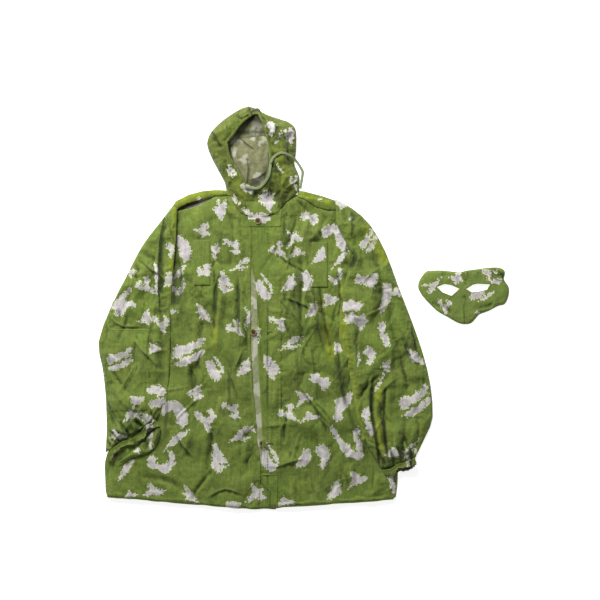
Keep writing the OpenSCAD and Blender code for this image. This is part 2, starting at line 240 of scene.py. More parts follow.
class Sheet:
    """A flat cut of cloth: its flat points, its shaped points, its triangles and which points are held."""

    def __init__(self, outline, holes=(), lines=(), spacing=CUT):
        outline = resample(outline, spacing, closed=True)
        holes = [resample(h, spacing * 0.7, closed=True) for h in holes]
        points, edges = [], []

        def add(path, closed):
            first = len(points)
            points.extend(path.tolist())
            count = len(path)
            for i in range(count if closed else count - 1):
                edges.append((first + i, first + (i + 1) % count))

        add(outline, True)
        for h in holes:
            add(h, True)
        held = len(points)
        kept_lines = [resample(line, spacing) for line in lines]
        for line in kept_lines:
            line = line[inside(line, outline)]
            if len(line) > 1:
                add(line, False)
        lo, hi = outline.min(0), outline.max(0)
        row = spacing * math.sqrt(3) / 2
        ys = np.arange(lo[1], hi[1], row)
        xs = np.arange(lo[0], hi[0], spacing)
        grid = np.array([(x + (k % 2) * spacing / 2, y) for k, y in enumerate(ys) for x in xs])
        grid += (rng.random(grid.shape) - 0.5) * spacing * 0.25
        grid = grid[inside(grid, outline)]
        for h in holes:
            grid = grid[~inside(grid, h)]
        fixed = np.array(points)
        clear = np.ones(len(grid), bool)
        for k in range(0, len(fixed), 64):
            part = fixed[k : k + 64]
            near = np.linalg.norm(grid[:, None] - part[None], axis=2).min(1)
            clear &= near > spacing * 0.62
        grid = grid[clear]
        everything = np.vstack([fixed, grid])
        out = delaunay_2d_cdt([tuple(p) for p in everything], edges, [], 0, 1e-7)
        flat = np.array([tuple(v) for v in out[0]])
        tris = np.array([f for f in out[2] if len(f) == 3])
        centre = flat[tris].mean(1)
        good = inside(centre, outline)
        for h in holes:
            good &= ~inside(centre, h)
        a, b, c = flat[tris[:, 0]], flat[tris[:, 1]], flat[tris[:, 2]]
        area = (b - a)[:, 0] * (c - a)[:, 1] - (b - a)[:, 1] * (c - a)[:, 0]
        tris[area < 0] = tris[area < 0][:, ::-1]
        tris = tris[good & (np.abs(area) > 1e-10)]
        used = np.unique(tris)
        renumber = -np.ones(len(flat), int)
        renumber[used] = np.arange(len(used))
        self.flat = flat[used]
        self.tris = renumber[tris]
        self.pos = np.column_stack([self.flat, np.zeros(len(used))])
        self.outline, self.holes = outline, holes
        self.held = self.rim()

    @classmethod
    def shaped(cls, pos, flat, faces, outline):
        """A sheet whose points and faces are already made."""
        sheet = cls.__new__(cls)
        sheet.pos, sheet.flat, sheet.tris = pos, flat, faces
        sheet.outline, sheet.holes = outline, []
        return sheet

    def edges(self):
        """Every edge once, each triangle's places in that list, and how many triangles share each edge."""
        ends = np.sort(self.tris[:, [0, 1, 1, 2, 2, 0]].reshape(-1, 2), axis=1)
        return np.unique(ends, axis=0, return_inverse=True, return_counts=True)

    def neighbours(self):
        """A function that averages a value over the points next to each point."""
        a, b = self.edges()[0].T
        n = len(self.pos)
        degree = np.maximum(np.bincount(np.concatenate([a, b]), minlength=n), 1)

        def mean(values):
            return (np.bincount(a, values[b], n) + np.bincount(b, values[a], n)) / degree

        return mean

    def rim(self):
        """True for the points on an open edge."""
        unique, _, count = self.edges()
        rim = np.zeros(len(self.flat), bool)
        rim[unique[count == 1].ravel()] = True
        return rim

    def edge_distance(self):
        """Distance of each flat point from the outline."""
        ring = np.vstack([self.outline, self.outline[:1]])
        return to_path(self.flat, ring)[0]

    def lift(self, height):
        self.pos[:, 2] = height(self.flat)
        return self

    def refine(self, rounds=1):
        """Halves the spacing, then relaxes the shape a little so that no facets show."""
        for _ in range(rounds):
            unique, back, _ = self.edges()
            back = back.reshape(-1, 3)
            n = len(self.flat)
            self.flat = np.vstack([self.flat, self.flat[unique].mean(1)])
            self.pos = np.vstack([self.pos, self.pos[unique].mean(1)])
            a, b, c = self.tris.T
            ab, bc, ca = (back[:, k] + n for k in range(3))
            self.tris = np.vstack(
                [np.column_stack(t) for t in ((a, ab, ca), (ab, b, bc), (ca, bc, c), (ab, bc, ca))]
            )
            self.held = self.rim()
            self.relax(1, 0.4)
        return self

    def relax(self, rounds, strength):
        """Moves every free point towards the middle of its neighbours."""
        mean = self.neighbours()
        free = ~self.held
        for _ in range(rounds):
            middle = np.stack([mean(self.pos[:, k]) for k in range(3)], axis=1)
            self.pos[free] += (middle[free] - self.pos[free]) * strength
        return self

    def hollows(self, rounds=10, depth=0.0022):
        """How far each point lies below (above zero) or stands above (below zero) the cloth round it."""
        mean = self.neighbours()
        smooth = self.pos[:, 2].copy()
        for _ in range(rounds):
            smooth = 0.4 * smooth + 0.6 * mean(smooth)
        inner = smoothstep(0.002, 0.012, self.edge_distance())
        return np.clip((smooth - self.pos[:, 2]) / depth, -1, 1) * inner

    def rest_on(self, ground, gap=0.0006, soft=0.0012):
        """Keeps the cloth above what it lies on, flattening what would sink in."""
        floor = ground(self.pos[:, :2]) + gap
        over = (self.pos[:, 2] - floor) / soft
        eased = soft * np.logaddexp(0, np.clip(over, -40, 40))
        self.pos[:, 2] = floor + np.where(over < 40, eased, soft * over)
        return self

    def press_above(self, crest, share):
        """Takes off this share of whatever stands above the crest."""
        self.pos[:, 2] -= share * np.maximum(self.pos[:, 2] - crest, 0)


def simulate(jobs):
    """Runs Blender's cloth on all the sheets. A job is (sheet, growth, bending stiffness, largest move)."""
    scene = bpy.context.scene
    running = []
    for sheet, growth, bending, cap in jobs:
        mesh = bpy.data.meshes.new("trial")
        mesh.from_pydata(sheet.pos.tolist(), [], sheet.tris.tolist())
        obj = bpy.data.objects.new("trial", mesh)
        scene.collection.objects.link(obj)
        group = obj.vertex_groups.new(name="held")
        group.add(np.flatnonzero(sheet.held).tolist(), 1.0, "REPLACE")
        cloth = obj.modifiers.new("cloth", "CLOTH")
        s = cloth.settings
        s.quality = 4
        s.mass = 0.02
        s.tension_stiffness = 12
        s.compression_stiffness = 12
        s.shear_stiffness = 4
        s.bending_stiffness = bending
        s.tension_damping = s.compression_damping = 4
        s.shear_damping = 4
        s.air_damping = 6
        s.shrink_min = -growth
        s.vertex_group_mass = "held"
        s.effector_weights.gravity = 0
        cloth.collision_settings.use_collision = False
        cloth.point_cache.frame_start = 1
        cloth.point_cache.frame_end = GROWTH_FRAMES
        running.append((obj, sheet, cap))
    for f in range(1, GROWTH_FRAMES + 1):
        scene.frame_set(f)
    graph = bpy.context.evaluated_depsgraph_get()
    for obj, sheet, cap in running:
        shaped = obj.evaluated_get(graph).data
        co = np.zeros(len(shaped.vertices) * 3)
        shaped.vertices.foreach_get("co", co)
        move = co.reshape(-1, 3) - sheet.pos
        size = np.linalg.norm(move, axis=1)
        move *= (np.minimum(size, cap) / np.maximum(size, 1e-9))[:, None]
        sheet.pos += np.nan_to_num(move)
        mesh = obj.data
        bpy.data.objects.remove(obj)
        bpy.data.meshes.remove(mesh)
    scene.frame_set(1)


# ---------------------------------------------------------------- folds drawn into the cloth
# A fold is (kind, height, width, path). A ridge or a valley is even on both sides. A pleat stands up sharply
# on its path and falls away slowly to the left of it, as where cloth laps over itself.


def near_fold(xy, path, reach):
    """The smoothed path of a fold, which points lie near it, and how they lie to it."""
    curve = spline(mm(path), steps=4)
    lo, hi = curve.min(0) - reach, curve.max(0) + reach
    near = np.flatnonzero(((xy > lo) & (xy < hi)).all(1))
    d, side, share = to_path(xy[near], curve)
    return near, d, side, np.clip(np.sin(np.pi * share), 0, 1) ** 0.6


def fold_height(xy, folds):
    total = np.zeros(len(xy))
    for kind, height, width, path in folds:
        h, w = height * MM, width * MM
        near, d, side, taper = near_fold(xy, path, 5 * w)
        if kind == "ridge":
            total[near] += h * np.exp(-((d / w) ** 2)) * taper
        elif kind == "valley":
            total[near] -= h * np.exp(-((d / w) ** 2)) * taper
        else:
            shape = np.where(side > 0, np.exp(-d / w), np.exp(-((d / 0.003) ** 2)))
            total[near] += h * shape * taper
    return total


def stray_folds(loop, count, seed, lean=0.0, spread=0.45, height=(2.5, 6.0), length=(50, 150)):
    """Small pleats, ridges and valleys scattered over a cut, mostly running the same way; lean is from +Y."""
    pick = np.random.default_rng(seed)
    lo, hi = loop.min(0), loop.max(0)
    out = []
    while len(out) < count:
        start = pick.uniform(lo, hi)
        if not inside(start[None], loop)[0]:
            continue
        way = lean + pick.normal(0, spread)
        path = [start / MM]
        for _ in range(3):
            way += pick.normal(0, 0.16)
            path.append(path[-1] + np.array([math.sin(way), math.cos(way)]) * pick.uniform(*length) / 3)
        kind = ("pleat", "pleat", "valley", "ridge")[int(pick.integers(4))]
        path = path if pick.random() < 0.5 else path[::-1]
        out.append((kind, pick.uniform(*height), pick.uniform(4, 11), [tuple(q) for q in path]))
    return out


def gathers(a, b, count, reach, height, seed):
    """Short folds that fan in from a cuff whose mouth runs from a to b."""
    a, b = np.array(a, float), np.array(b, float)
    side = (b - a) / np.linalg.norm(b - a)
    inward = np.array([-side[1], side[0]])
    pick = np.random.default_rng(seed)
    out = []
    for k in range(count):
        start = a + (b - a) * (k + 0.5 + pick.uniform(-0.25, 0.25)) / count + inward * 4
        far = pick.uniform(0.55, 1.15) * reach
        swing = side * pick.normal(0, 9)
        path = [start - inward * 12, start + inward * far * 0.5 + swing * 0.4, start + inward * far + swing]
        out.append((("pleat", "valley", "ridge")[k % 3], height, 5, [tuple(q) for q in path]))
    return out


def fold_lines(xy, folds):
    """The narrow line of painted shadow at the foot of each pleat, 0 to 1."""
    total = np.zeros(len(xy))
    for kind, height, _, path in folds:
        if kind == "ridge":
            continue
        near, d, side, taper = near_fold(xy, path, 0.01)
        line = np.exp(-(((d + 0.0010 * side) / 0.0024) ** 2))
        line *= taper * min(height / 6, 1) * (1.0 if kind == "pleat" else 0.6)
        total[near] = np.maximum(total[near], line)
    return total


# ---------------------------------------------------------------- the print
# Each motif is one or more outlines in millimetres about its own centre.
MOTIFS = {
    "crescent": [
        [(-40, 28), (-21, 40), (9, 41), (31, 21), (42, -3), (37, -28), (21, -40), (6, -21), (3, -3),
         (-6, 14), (-21, 6), (-34, -3), (-43, 15)],
    ],
    "feather": [
        [(-39, -31), (-23, -8), (-3, 18), (18, 29), (40, 35), (23, 13), (3, -8), (-18, -16)],
    ],
    "star": [
        [(-26, 0), (-9, 5), (0, 18), (17, 23), (18, 9), (12, 1), (25, -8), (20, -16), (10, -15), (0, -23),
         (-5, -12), (-17, -5)],
    ],
    "spark": [
        [(-26, 28), (-4, 17), (10, 21), (13, 7), (27, 3), (20, -5), (0, -6), (-11, -21), (-22, -28),
         (-17, -12), (-11, 0), (-17, 15)],
    ],
    "pod": [
        [(-19, 5), (-7, 13), (-9, 29), (-2, 35), (2, 21), (14, 26), (19, 33), (21, 13), (18, -5), (11, -23),
         (1, -31), (-10, -16)],
    ],
    "onion": [
        [(-26, 18), (-13, 27), (-2, 21), (8, 1), (17, -11), (26, -18), (20, -33), (5, -37), (-8, -25),
         (-20, -4)],
        [(-6, 43), (4, 40), (14, 24), (28, 4), (31, -11), (24, -14), (16, 6), (6, 24)],
    ],
    "zed": [
        [(-24, 5), (-22, 21), (-10, 22), (0, 14), (16, 18), (24, 17), (22, 0), (28, -21), (13, -23),
         (-2, -13), (10, -8), (5, 0), (-8, 4), (-14, 10)],
    ],
    "fork": [
        [(-15, 17), (-8, 18), (-4, 9), (0, 21), (8, 22), (15, 6), (8, -9), (1, -24), (-6, -15), (-11, 1)],
    ],
    "chevron": [
        [(-20, 8), (-9, 11), (-2, 0), (1, 16), (10, 20), (20, 16), (19, -16), (4, -15), (-15, -17),
         (-18, -5)],
    ],
    "leaf": [
        [(-33, -18), (-17, -6), (-5, 9), (9, 19), (30, 17), (33, 7), (20, 9), (-2, -4), (17, -7), (22, -5),
         (4, -16), (-11, -12)],
    ],
    "sail": [
        [(-16, 34), (-9, 38), (3, 18), (13, 3), (20, -9), (1, -9), (1, -13), (22, -16), (8, -23), (-5, -33),
         (-10, -23), (-22, -16), (-18, 3), (-22, 10), (-16, 18)],
    ],
    "runner": [
        [(-21, 29), (-8, 22), (5, 9), (10, 2), (18, -17), (24, -24), (13, -26), (3, -17), (-8, -17),
         (-14, -12), (-8, -4), (-19, -1), (-22, 4), (-13, 7), (-17, 17)],
    ],
    "boat": [
        [(-28, -2), (-18, 13), (-10, 13), (-10, 1), (2, 2), (2, 12), (-4, 24), (12, 27), (17, 16), (12, 4),
         (24, -9), (31, -25), (14, -19), (-6, -9), (-20, -10)],
    ],
    "antler": [
        [(-21, 34), (-10, 26), (3, 13), (13, -3), (19, -23), (10, -29), (0, -13), (-5, -16), (-13, -34),
         (-19, -29), (-13, -8), (-10, 10)],
    ],
    "wing": [
        [(-47, -18), (-47, 10), (-34, 21), (-13, 17), (10, 31), (14, 24), (34, 44), (49, 39), (36, 20),
         (44, 17), (18, 7), (-2, -7), (-10, -3), (-26, -17)],
        [(-48, -36), (-26, -25), (-12, -13), (0, -16), (26, 0), (44, 9), (49, -3), (31, -21), (10, -31),
         (-13, -42), (-31, -43)],
    ],
    "throat": [
        [(-26, 15), (-13, 20), (-6, 30), (7, 27), (14, 18), (24, 22), (20, 0), (26, -8), (18, -19),
         (12, -35), (1, -22), (-11, -10), (-24, -2), (-12, 6)],
    ],
    "branch": [
        [(-34, 29), (-21, 31), (-10, 18), (-5, 8), (8, 10), (13, 18), (7, 29), (18, 34), (33, 16), (26, 3),
         (14, -10), (18, -34), (8, -36), (0, -23), (-8, -8), (-21, 3), (-31, 13)],
    ],
    "hook": [
        [(-43, 10), (-32, 21), (-22, 22), (-14, 13), (-22, 5), (-6, -3), (9, -5), (20, 5), (26, 12),
         (20, 23), (22, 34), (35, 36), (43, 16), (41, 0), (28, -18), (15, -34), (-1, -29), (-11, -16),
         (-32, -16), (-40, -5)],
    ],
    "claw": [
        [(18, 34), (21, 5), (16, -16), (0, -34), (-13, -21), (-23, 0), (-10, -5), (0, -14), (8, -3),
         (8, 16)],
    ],
    "swift": [
        [(-34, -14), (-26, -4), (-13, 7), (-23, 17), (-13, 22), (3, 9), (16, 2), (35, 4), (26, -9),
         (10, -17), (-5, -9), (-16, -17)],
    ],
    "wedge": [
        [(-14, 16), (3, 15), (19, 1), (4, -6), (-14, -16)],
    ],
    "slab": [
        [(-28, -7), (-22, 10), (0, 16), (18, 11), (30, 8), (22, -7), (10, -14), (-8, -12), (-22, -16)],
    ],
    "cloud": [
        [(-36, -16), (-21, 5), (-3, 26), (18, 44), (30, 49), (23, 34), (8, 16), (13, 5), (31, 5), (42, -13),
         (16, -13), (0, -36), (-23, -39), (-21, -23)],
    ],
    "stalk": [
        [(-12, 47), (3, 43), (7, 25), (8, 4), (5, -27), (7, -48), (-5, -45), (-9, -32), (0, -17), (-4, 4),
         (-7, 25)],
    ],
    "flame": [
        [(-23, -23), (-12, -1), (-2, 20), (13, 29), (17, 12), (20, -4), (6, -18), (-10, -22)],
    ],
    "moth": [
        [(-28, -1), (-23, 14), (-8, 20), (4, 12), (20, 14), (29, -1), (23, -13), (13, -24), (4, -10),
         (-5, -4), (-17, -7)],
    ],
    "gull": [
        [(-26, -14), (-13, 3), (-5, 18), (10, 6), (28, 2), (23, -6), (7, -6), (-5, -10)],
    ],
    "tooth": [
        [(-21, 10), (-13, 26), (2, 32), (14, 23), (20, 4), (17, -14), (2, -34), (-9, -23), (-2, -8),
         (-10, 1)],
    ],
    "fish": [
        [(-20, 23), (-6, 20), (9, 12), (28, 7), (18, -5), (3, -11), (-12, -14), (-26, -26), (-17, -5),
         (-18, 7)],
    ],
    "hull": [
        [(-24, 37), (-9, 35), (6, 21), (18, 3), (28, -12), (15, -18), (6, -37), (-6, -28), (-18, -9),
         (-24, 15)],
    ],
    "paw": [
        [(29, 46), (28, 15), (12, -3), (0, -15), (-1, -37), (-18, -46), (-29, -34), (-24, -15), (-18, 3),
         (-26, 21), (-6, 24), (9, 34)],
    ],
    "chain": [
        [(-51, 52), (-40, 56), (-28, 40), (-21, 21), (-6, 6), (12, -6), (21, -21), (43, -18), (52, -37),
         (37, -50), (18, -40), (0, -37), (-12, -21), (-24, 0), (-34, 18), (-46, 34)],
    ],
    "column": [
        [(-17, 31), (0, 40), (6, 24), (0, 6), (12, -6), (15, -31), (3, -40), (-6, -18), (-10, 0), (-15, 15)],
    ],
    "blade": [
        [(-7, 49), (14, 49), (18, 28), (16, 3), (2, -21), (-13, -49), (-18, -40), (-13, -9), (-9, 21)],
    ],
    "bone": [
        [(-35, -4), (-26, 20), (-10, 14), (5, 11), (17, 20), (34, 19), (31, 2), (26, -23), (8, -20),
         (-10, -7), (-26, -13)],
    ],
    "sliver": [
        [(25, 18), (20, 7), (7, -1), (-7, -9), (-20, -14), (-27, -12), (-13, -2), (0, 4), (12, 12)],
    ],
    "speck": [
        [(-9, -3), (-3, 6), (8, 3), (3, -7)],
    ],
}

# (motif, x, y, turn in degrees, size), where the print lies on each part of the laid suit
PRINT = {
    "body_right": [
        ("crescent", -231, 180, 0, 1.0), ("feather", -226, 104, 12, 0.7), ("star", -158, 236, 0, 1.0),
        ("pod", -106, 296, 0, 1.0), ("zed", -71, 187, 0, 1.0), ("fork", -120, 173, 0, 1.0),
        ("chevron", -155, 116, 0, 1.0), ("leaf", -41, 133, 0, 1.0), ("sail", -87, 77, 0, 1.0),
        ("claw", -230, 70, 0, 1.0), ("runner", -154, -13, 0, 1.0), ("gull", -250, -10, 10, 0.8),
        ("boat", -63, -58, 0, 1.0), ("antler", -14, -27, 0, 1.0), ("wing", -198, -129, 0, 1.0),
        ("onion", -123, -179, 0, 1.0), ("flame", -32, -176, 0, 1.0), ("star", -180, -252, 0, 1.05),
        ("zed", -75, -305, 0, 1.05), ("crescent", -241, -317, 0, 1.0), ("branch", -149, -335, 0, 1.0),
        ("leaf", -42, -377, 0, 1.3), ("feather", -237, -397, 0, 1.0), ("sail", -106, -452, 0, 1.25),
        ("hook", -281, -462, 0, 1.0), ("feather", -387, -487, 14, 0.85), ("swift", -302, -545, 0, 1.0),
        ("gull", -374, -556, 0, 0.75), ("runner", -194, -556, 0, 1.0), ("slab", -66, -590, 0, 0.9),
        ("spark", 4, -560, -20, 1.2), ("zed", -330, -300, 0, 1.0), ("gull", -166, 327, 0, 0.6),
    ],
    "body_left": [
        ("moth", 162, 272, 0, 1.0), ("crescent", 240, 212, 0, 1.0), ("feather", 256, 147, 8, 0.75),
        ("spark", 119, 210, 0, 1.0), ("boat", 67, 176, 0, 1.0), ("gull", 128, 170, 0, 1.0),
        ("flame", 195, 162, 0, 1.0), ("onion", 24, 62, 0, 1.0), ("flame", 104, 76, 0, 1.0),
        ("tooth", 152, 83, 0, 1.0), ("claw", 240, 100, 0, 0.9), ("fish", 224, 25, 0, 1.0),
        ("flame", 172, -2, 0, 0.95), ("zed", 65, -45, 0, 1.0), ("sliver", 12, -78, 60, 0.8),
        ("leaf", 108, -103, 0, 1.15), ("hull", 50, -176, 0, 1.0), ("moth", 192, -218, -12, 1.15),
        ("spark", 145, -271, 0, 1.0), ("boat", 97, -313, 0, 1.05), ("gull", 163, -324, 0, 1.05),
        ("paw", 261, -292, 0, 1.0), ("chain", 273, -405, 0, 1.0), ("column", 307, -393, 0, 1.0),
        ("onion", 38, -448, 0, 1.1), ("flame", 145, -448, 0, 1.15), ("tooth", 201, -441, 0, 1.15),
        ("fish", 307, -512, 0, 1.1), ("flame", 238, -543, 0, 1.1), ("gull", 91, -578, 0, 1.1),
        ("spark", 7, -561, -20, 1.2), ("column", 413, -521, 0, 0.9), ("wedge", 252, -121, 0, 1.1),
        ("zed", 340, -200, 0, 1.0), ("crescent", 330, -60, 0, 0.9), ("speck", 195, 331, 0, 0.8),
        ("throat", 34, 324, 0, 1.0), ("swift", -19, 284, 0, 0.95), ("slab", 23, 273, 0, 0.9),
    ],
    "sleeve_right": [
        ("cloud", -396, 18, 0, 1.0), ("boat", -331, 70, 0, 1.0), ("stalk", -295, 91, 0, 1.0),
        ("tooth", -254, 176, 0, 0.7), ("flame", -258, 88, 10, 0.9), ("star", -326, -28, 20, 1.0),
        ("branch", -279, -47, 0, 0.8), ("speck", -370, 111, 60, 1.7), ("wing", -405, -150, 0, 0.8),
        ("wedge", -299, -120, 0, 1.0), ("speck", -462, -200, 40, 1.4), ("slab", -292, -244, -20, 1.0),
        ("slab", -291, -281, 10, 0.95), ("fish", -352, -276, 20, 0.9), ("gull", -370, -318, 10, 1.1),
        ("tooth", -322, -335, 30, 0.8), ("swift", -409, -376, 0, 0.8), ("sliver", -312, -392, 60, 1.1),
        ("speck", -352, -424, 0, 1.2),
    ],
    "sleeve_left": [
        ("wing", 341, 203, 35, 0.64), ("bone", 333, 85, 0, 1.0), ("blade", 391, 29, 0, 1.0),
        ("wedge", 423, 46, -40, 0.9), ("slab", 292, 9, 0, 1.1), ("moth", 301, -35, 0, 1.3),
        ("column", 387, -75, 0, 1.05), ("tooth", 342, -139, 0, 0.9), ("sliver", 311, -145, 60, 0.8),
        ("runner", 482, -144, 12, 1.05), ("wedge", 397, -171, 60, 1.0), ("sliver", 372, -224, 30, 1.1),
        ("wing", 480, -277, 10, 1.0), ("column", 341, -338, 0, 1.15), ("gull", 414, -430, -16, 1.1),
        ("moth", 250, 316, -20, 0.8), ("speck", 287, 271, 0, 0.8), ("sliver", 472, -409, 10, 0.9),
        ("sliver", 458, -447, 85, 1.0), ("sliver", 486, -444, 75, 1.1),
    ],
    "hood": [
        ("tooth", 48, 541, 0, 0.75), ("fork", 104, 518, 10, 1.15), ("sliver", 71, 512, 30, 0.7),
        ("sail", -69, 412, 10, 0.62), ("sliver", 75, 417, -90, 0.6), ("chevron", 115, 388, 0, 0.62),
        ("hull", -21, 361, 40, 0.6), ("throat", 34, 324, 0, 1.0), ("swift", -61, 328, -40, 0.6),
        ("swift", -19, 284, 0, 0.95), ("slab", 23, 273, 0, 0.9), ("sliver", 122, 372, 70, 0.7),
    ],
    "mask": [
        ("antler", 537, 69, -70, 0.85), ("star", 604, 94, 0, 0.85), ("branch", 569, 8, -10, 0.62),
        ("slab", 667, 42, 10, 0.8), ("sliver", 696, 38, 4, 0.95), ("tooth", 697, 103, 20, 0.62),
        ("slab", 725, 83, -8, 0.6), ("speck", 722, 111, 40, 1.1), ("speck", 667, -11, 0, 0.9),
    ],
}


def print_distance(xy, placed):
    """Signed distance from each flat point to the nearest blotch, below zero inside one."""
    total = np.full(len(xy), 0.03)
    for name, x, y, turn, size in placed:
        c, s = math.cos(math.radians(turn)), math.sin(math.radians(turn))
        off = (xy / MM - (x, y)) / size
        local = np.column_stack([off[:, 0] * c + off[:, 1] * s, -off[:, 0] * s + off[:, 1] * c])
        near = np.abs(local).max(1) < 80
        if near.any():
            gap = -np.max([signed_to_loop(local[near], np.array(loop)) for loop in MOTIFS[name]], axis=0)
            total[near] = np.minimum(total[near], gap * size * MM)
    return total


# ---------------------------------------------------------------- materials


class Nodes:
    """A short way to write a node tree."""

    def __init__(self, name):
        self.material = bpy.data.materials.new(name)
        self.material.use_nodes = True
        self.tree = self.material.node_tree
        self.shader = self.tree.nodes["Principled BSDF"]

    def add(self, kind, **values):
        node = self.tree.nodes.new("ShaderNode" + kind)
        for key, value in values.items():
            if hasattr(node, key):
                setattr(node, key, value)
            else:
                self.put(node.inputs[key.replace("_", " ").title()], value)
        return node

    def put(self, socket, value):
        if isinstance(value, bpy.types.NodeSocket):
            self.tree.links.new(value, socket)
        else:
            socket.default_value = value

    def math(self, operation, *values, clamp=False):
        node = self.tree.nodes.new("ShaderNodeMath")
        node.operation = operation
        node.use_clamp = clamp
        for socket, value in zip(node.inputs, values):
            self.put(socket, value)
        return node.outputs[0]

    def mix(self, share, a, b, blend="MIX"):
        node = self.tree.nodes.new("ShaderNodeMix")
        node.data_type = "RGBA"
        node.blend_type = blend
        self.put(node.inputs[0], share)
        self.put(node.inputs[6], a)
        self.put(node.inputs[7], b)
        return node.outputs[2]

    def attribute(self, name):
        node = self.tree.nodes.new("ShaderNodeAttribute")
        node.attribute_name = name
        return node.outputs["Fac"]

    def noise(self, vector, scale, detail=2.0, rough=0.5):
        node = self.tree.nodes.new("ShaderNodeTexNoise")
        self.put(node.inputs["Vector"], vector)
        node.inputs["Scale"].default_value = scale
        node.inputs["Detail"].default_value = detail
        node.inputs["Roughness"].default_value = rough
        return node.outputs["Fac"]

    def range(self, value, lo, hi, to_lo=0.0, to_hi=1.0):
        node = self.tree.nodes.new("ShaderNodeMapRange")
        self.put(node.inputs[0], value)
        for socket, v in zip(node.inputs[1:5], (lo, hi, to_lo, to_hi)):
            socket.default_value = v
        return node.outputs[0]

    def stretched(self, vector, scale):
        node = self.tree.nodes.new("ShaderNodeMapping")
        self.put(node.inputs["Vector"], vector)
        node.inputs["Scale"].default_value = scale
        return node.outputs[0]


def linear(r, g, b):
    """A colour written as 0 to 255 screen values."""
    values = [c / 255 for c in (r, g, b)]
    return tuple(v / 12.92 if v <= 0.04045 else ((v + 0.055) / 1.055) ** 2.4 for v in values) + (1.0,)


def weave_bump(n, cloth, depth=1.0):
    """Threads over and under at 0.9 mm, slubs along both ways, and the fine crumple of thin cotton."""
    pitch = 2 * math.pi / 0.0009
    split = n.add("SeparateXYZ")
    n.put(split.inputs[0], cloth)
    across = n.math("SINE", n.math("MULTIPLY", split.outputs[0], pitch))
    down = n.math("SINE", n.math("MULTIPLY", split.outputs[1], pitch))
    thread = n.math("MULTIPLY", across, down)
    slub = n.noise(n.stretched(cloth, (1400.0, 90.0, 1.0)), 1.0, 2.0)
    fine = n.noise(cloth, 70.0, 3.0, 0.55)
    coarse = n.noise(n.stretched(cloth, (1.0, 0.6, 1.0)), 34.0, 2.0)
    ridge = n.math("ABSOLUTE", n.math("SUBTRACT", coarse, 0.5))
    height = n.math("MULTIPLY", thread, 0.00005)
    height = n.math("MULTIPLY_ADD", slub, 0.00012, height)
    height = n.math("MULTIPLY_ADD", fine, 0.0014 * depth, height)
    height = n.math("MULTIPLY_ADD", ridge, -0.0042 * depth, height)
    bump = n.add("Bump")
    bump.inputs["Strength"].default_value = 0.85
    bump.inputs["Distance"].default_value = 1.0
    n.put(bump.inputs["Height"], height)
    return bump.outputs[0], slub


def blotch_mask(n, cloth, step=0.0042, jitter=0.0070):
    """The print's edge, broken into small square steps as a printed screen leaves it."""
    cell = n.add("VectorMath", operation="SNAP")
    n.put(cell.inputs[0], cloth)
    cell.inputs[1].default_value = (step, step, step)
    spread = n.add("TexWhiteNoise", noise_dimensions="2D")
    n.put(spread.inputs["Vector"], cell.outputs[0])
    shift = n.math("MULTIPLY", n.math("SUBTRACT", spread.outputs["Value"], 0.5), jitter)
    wave = n.math("MULTIPLY", n.math("SUBTRACT", n.noise(cloth, 95.0, 1.0), 0.5), 0.0095)
    distance = n.math("ADD", n.math("ADD", n.attribute("print_d"), shift), wave)
    return n.range(distance, -0.0003, 0.0003, 1.0, 0.0), n.range(distance, -0.0042, -0.001, 0.0, 1.0)


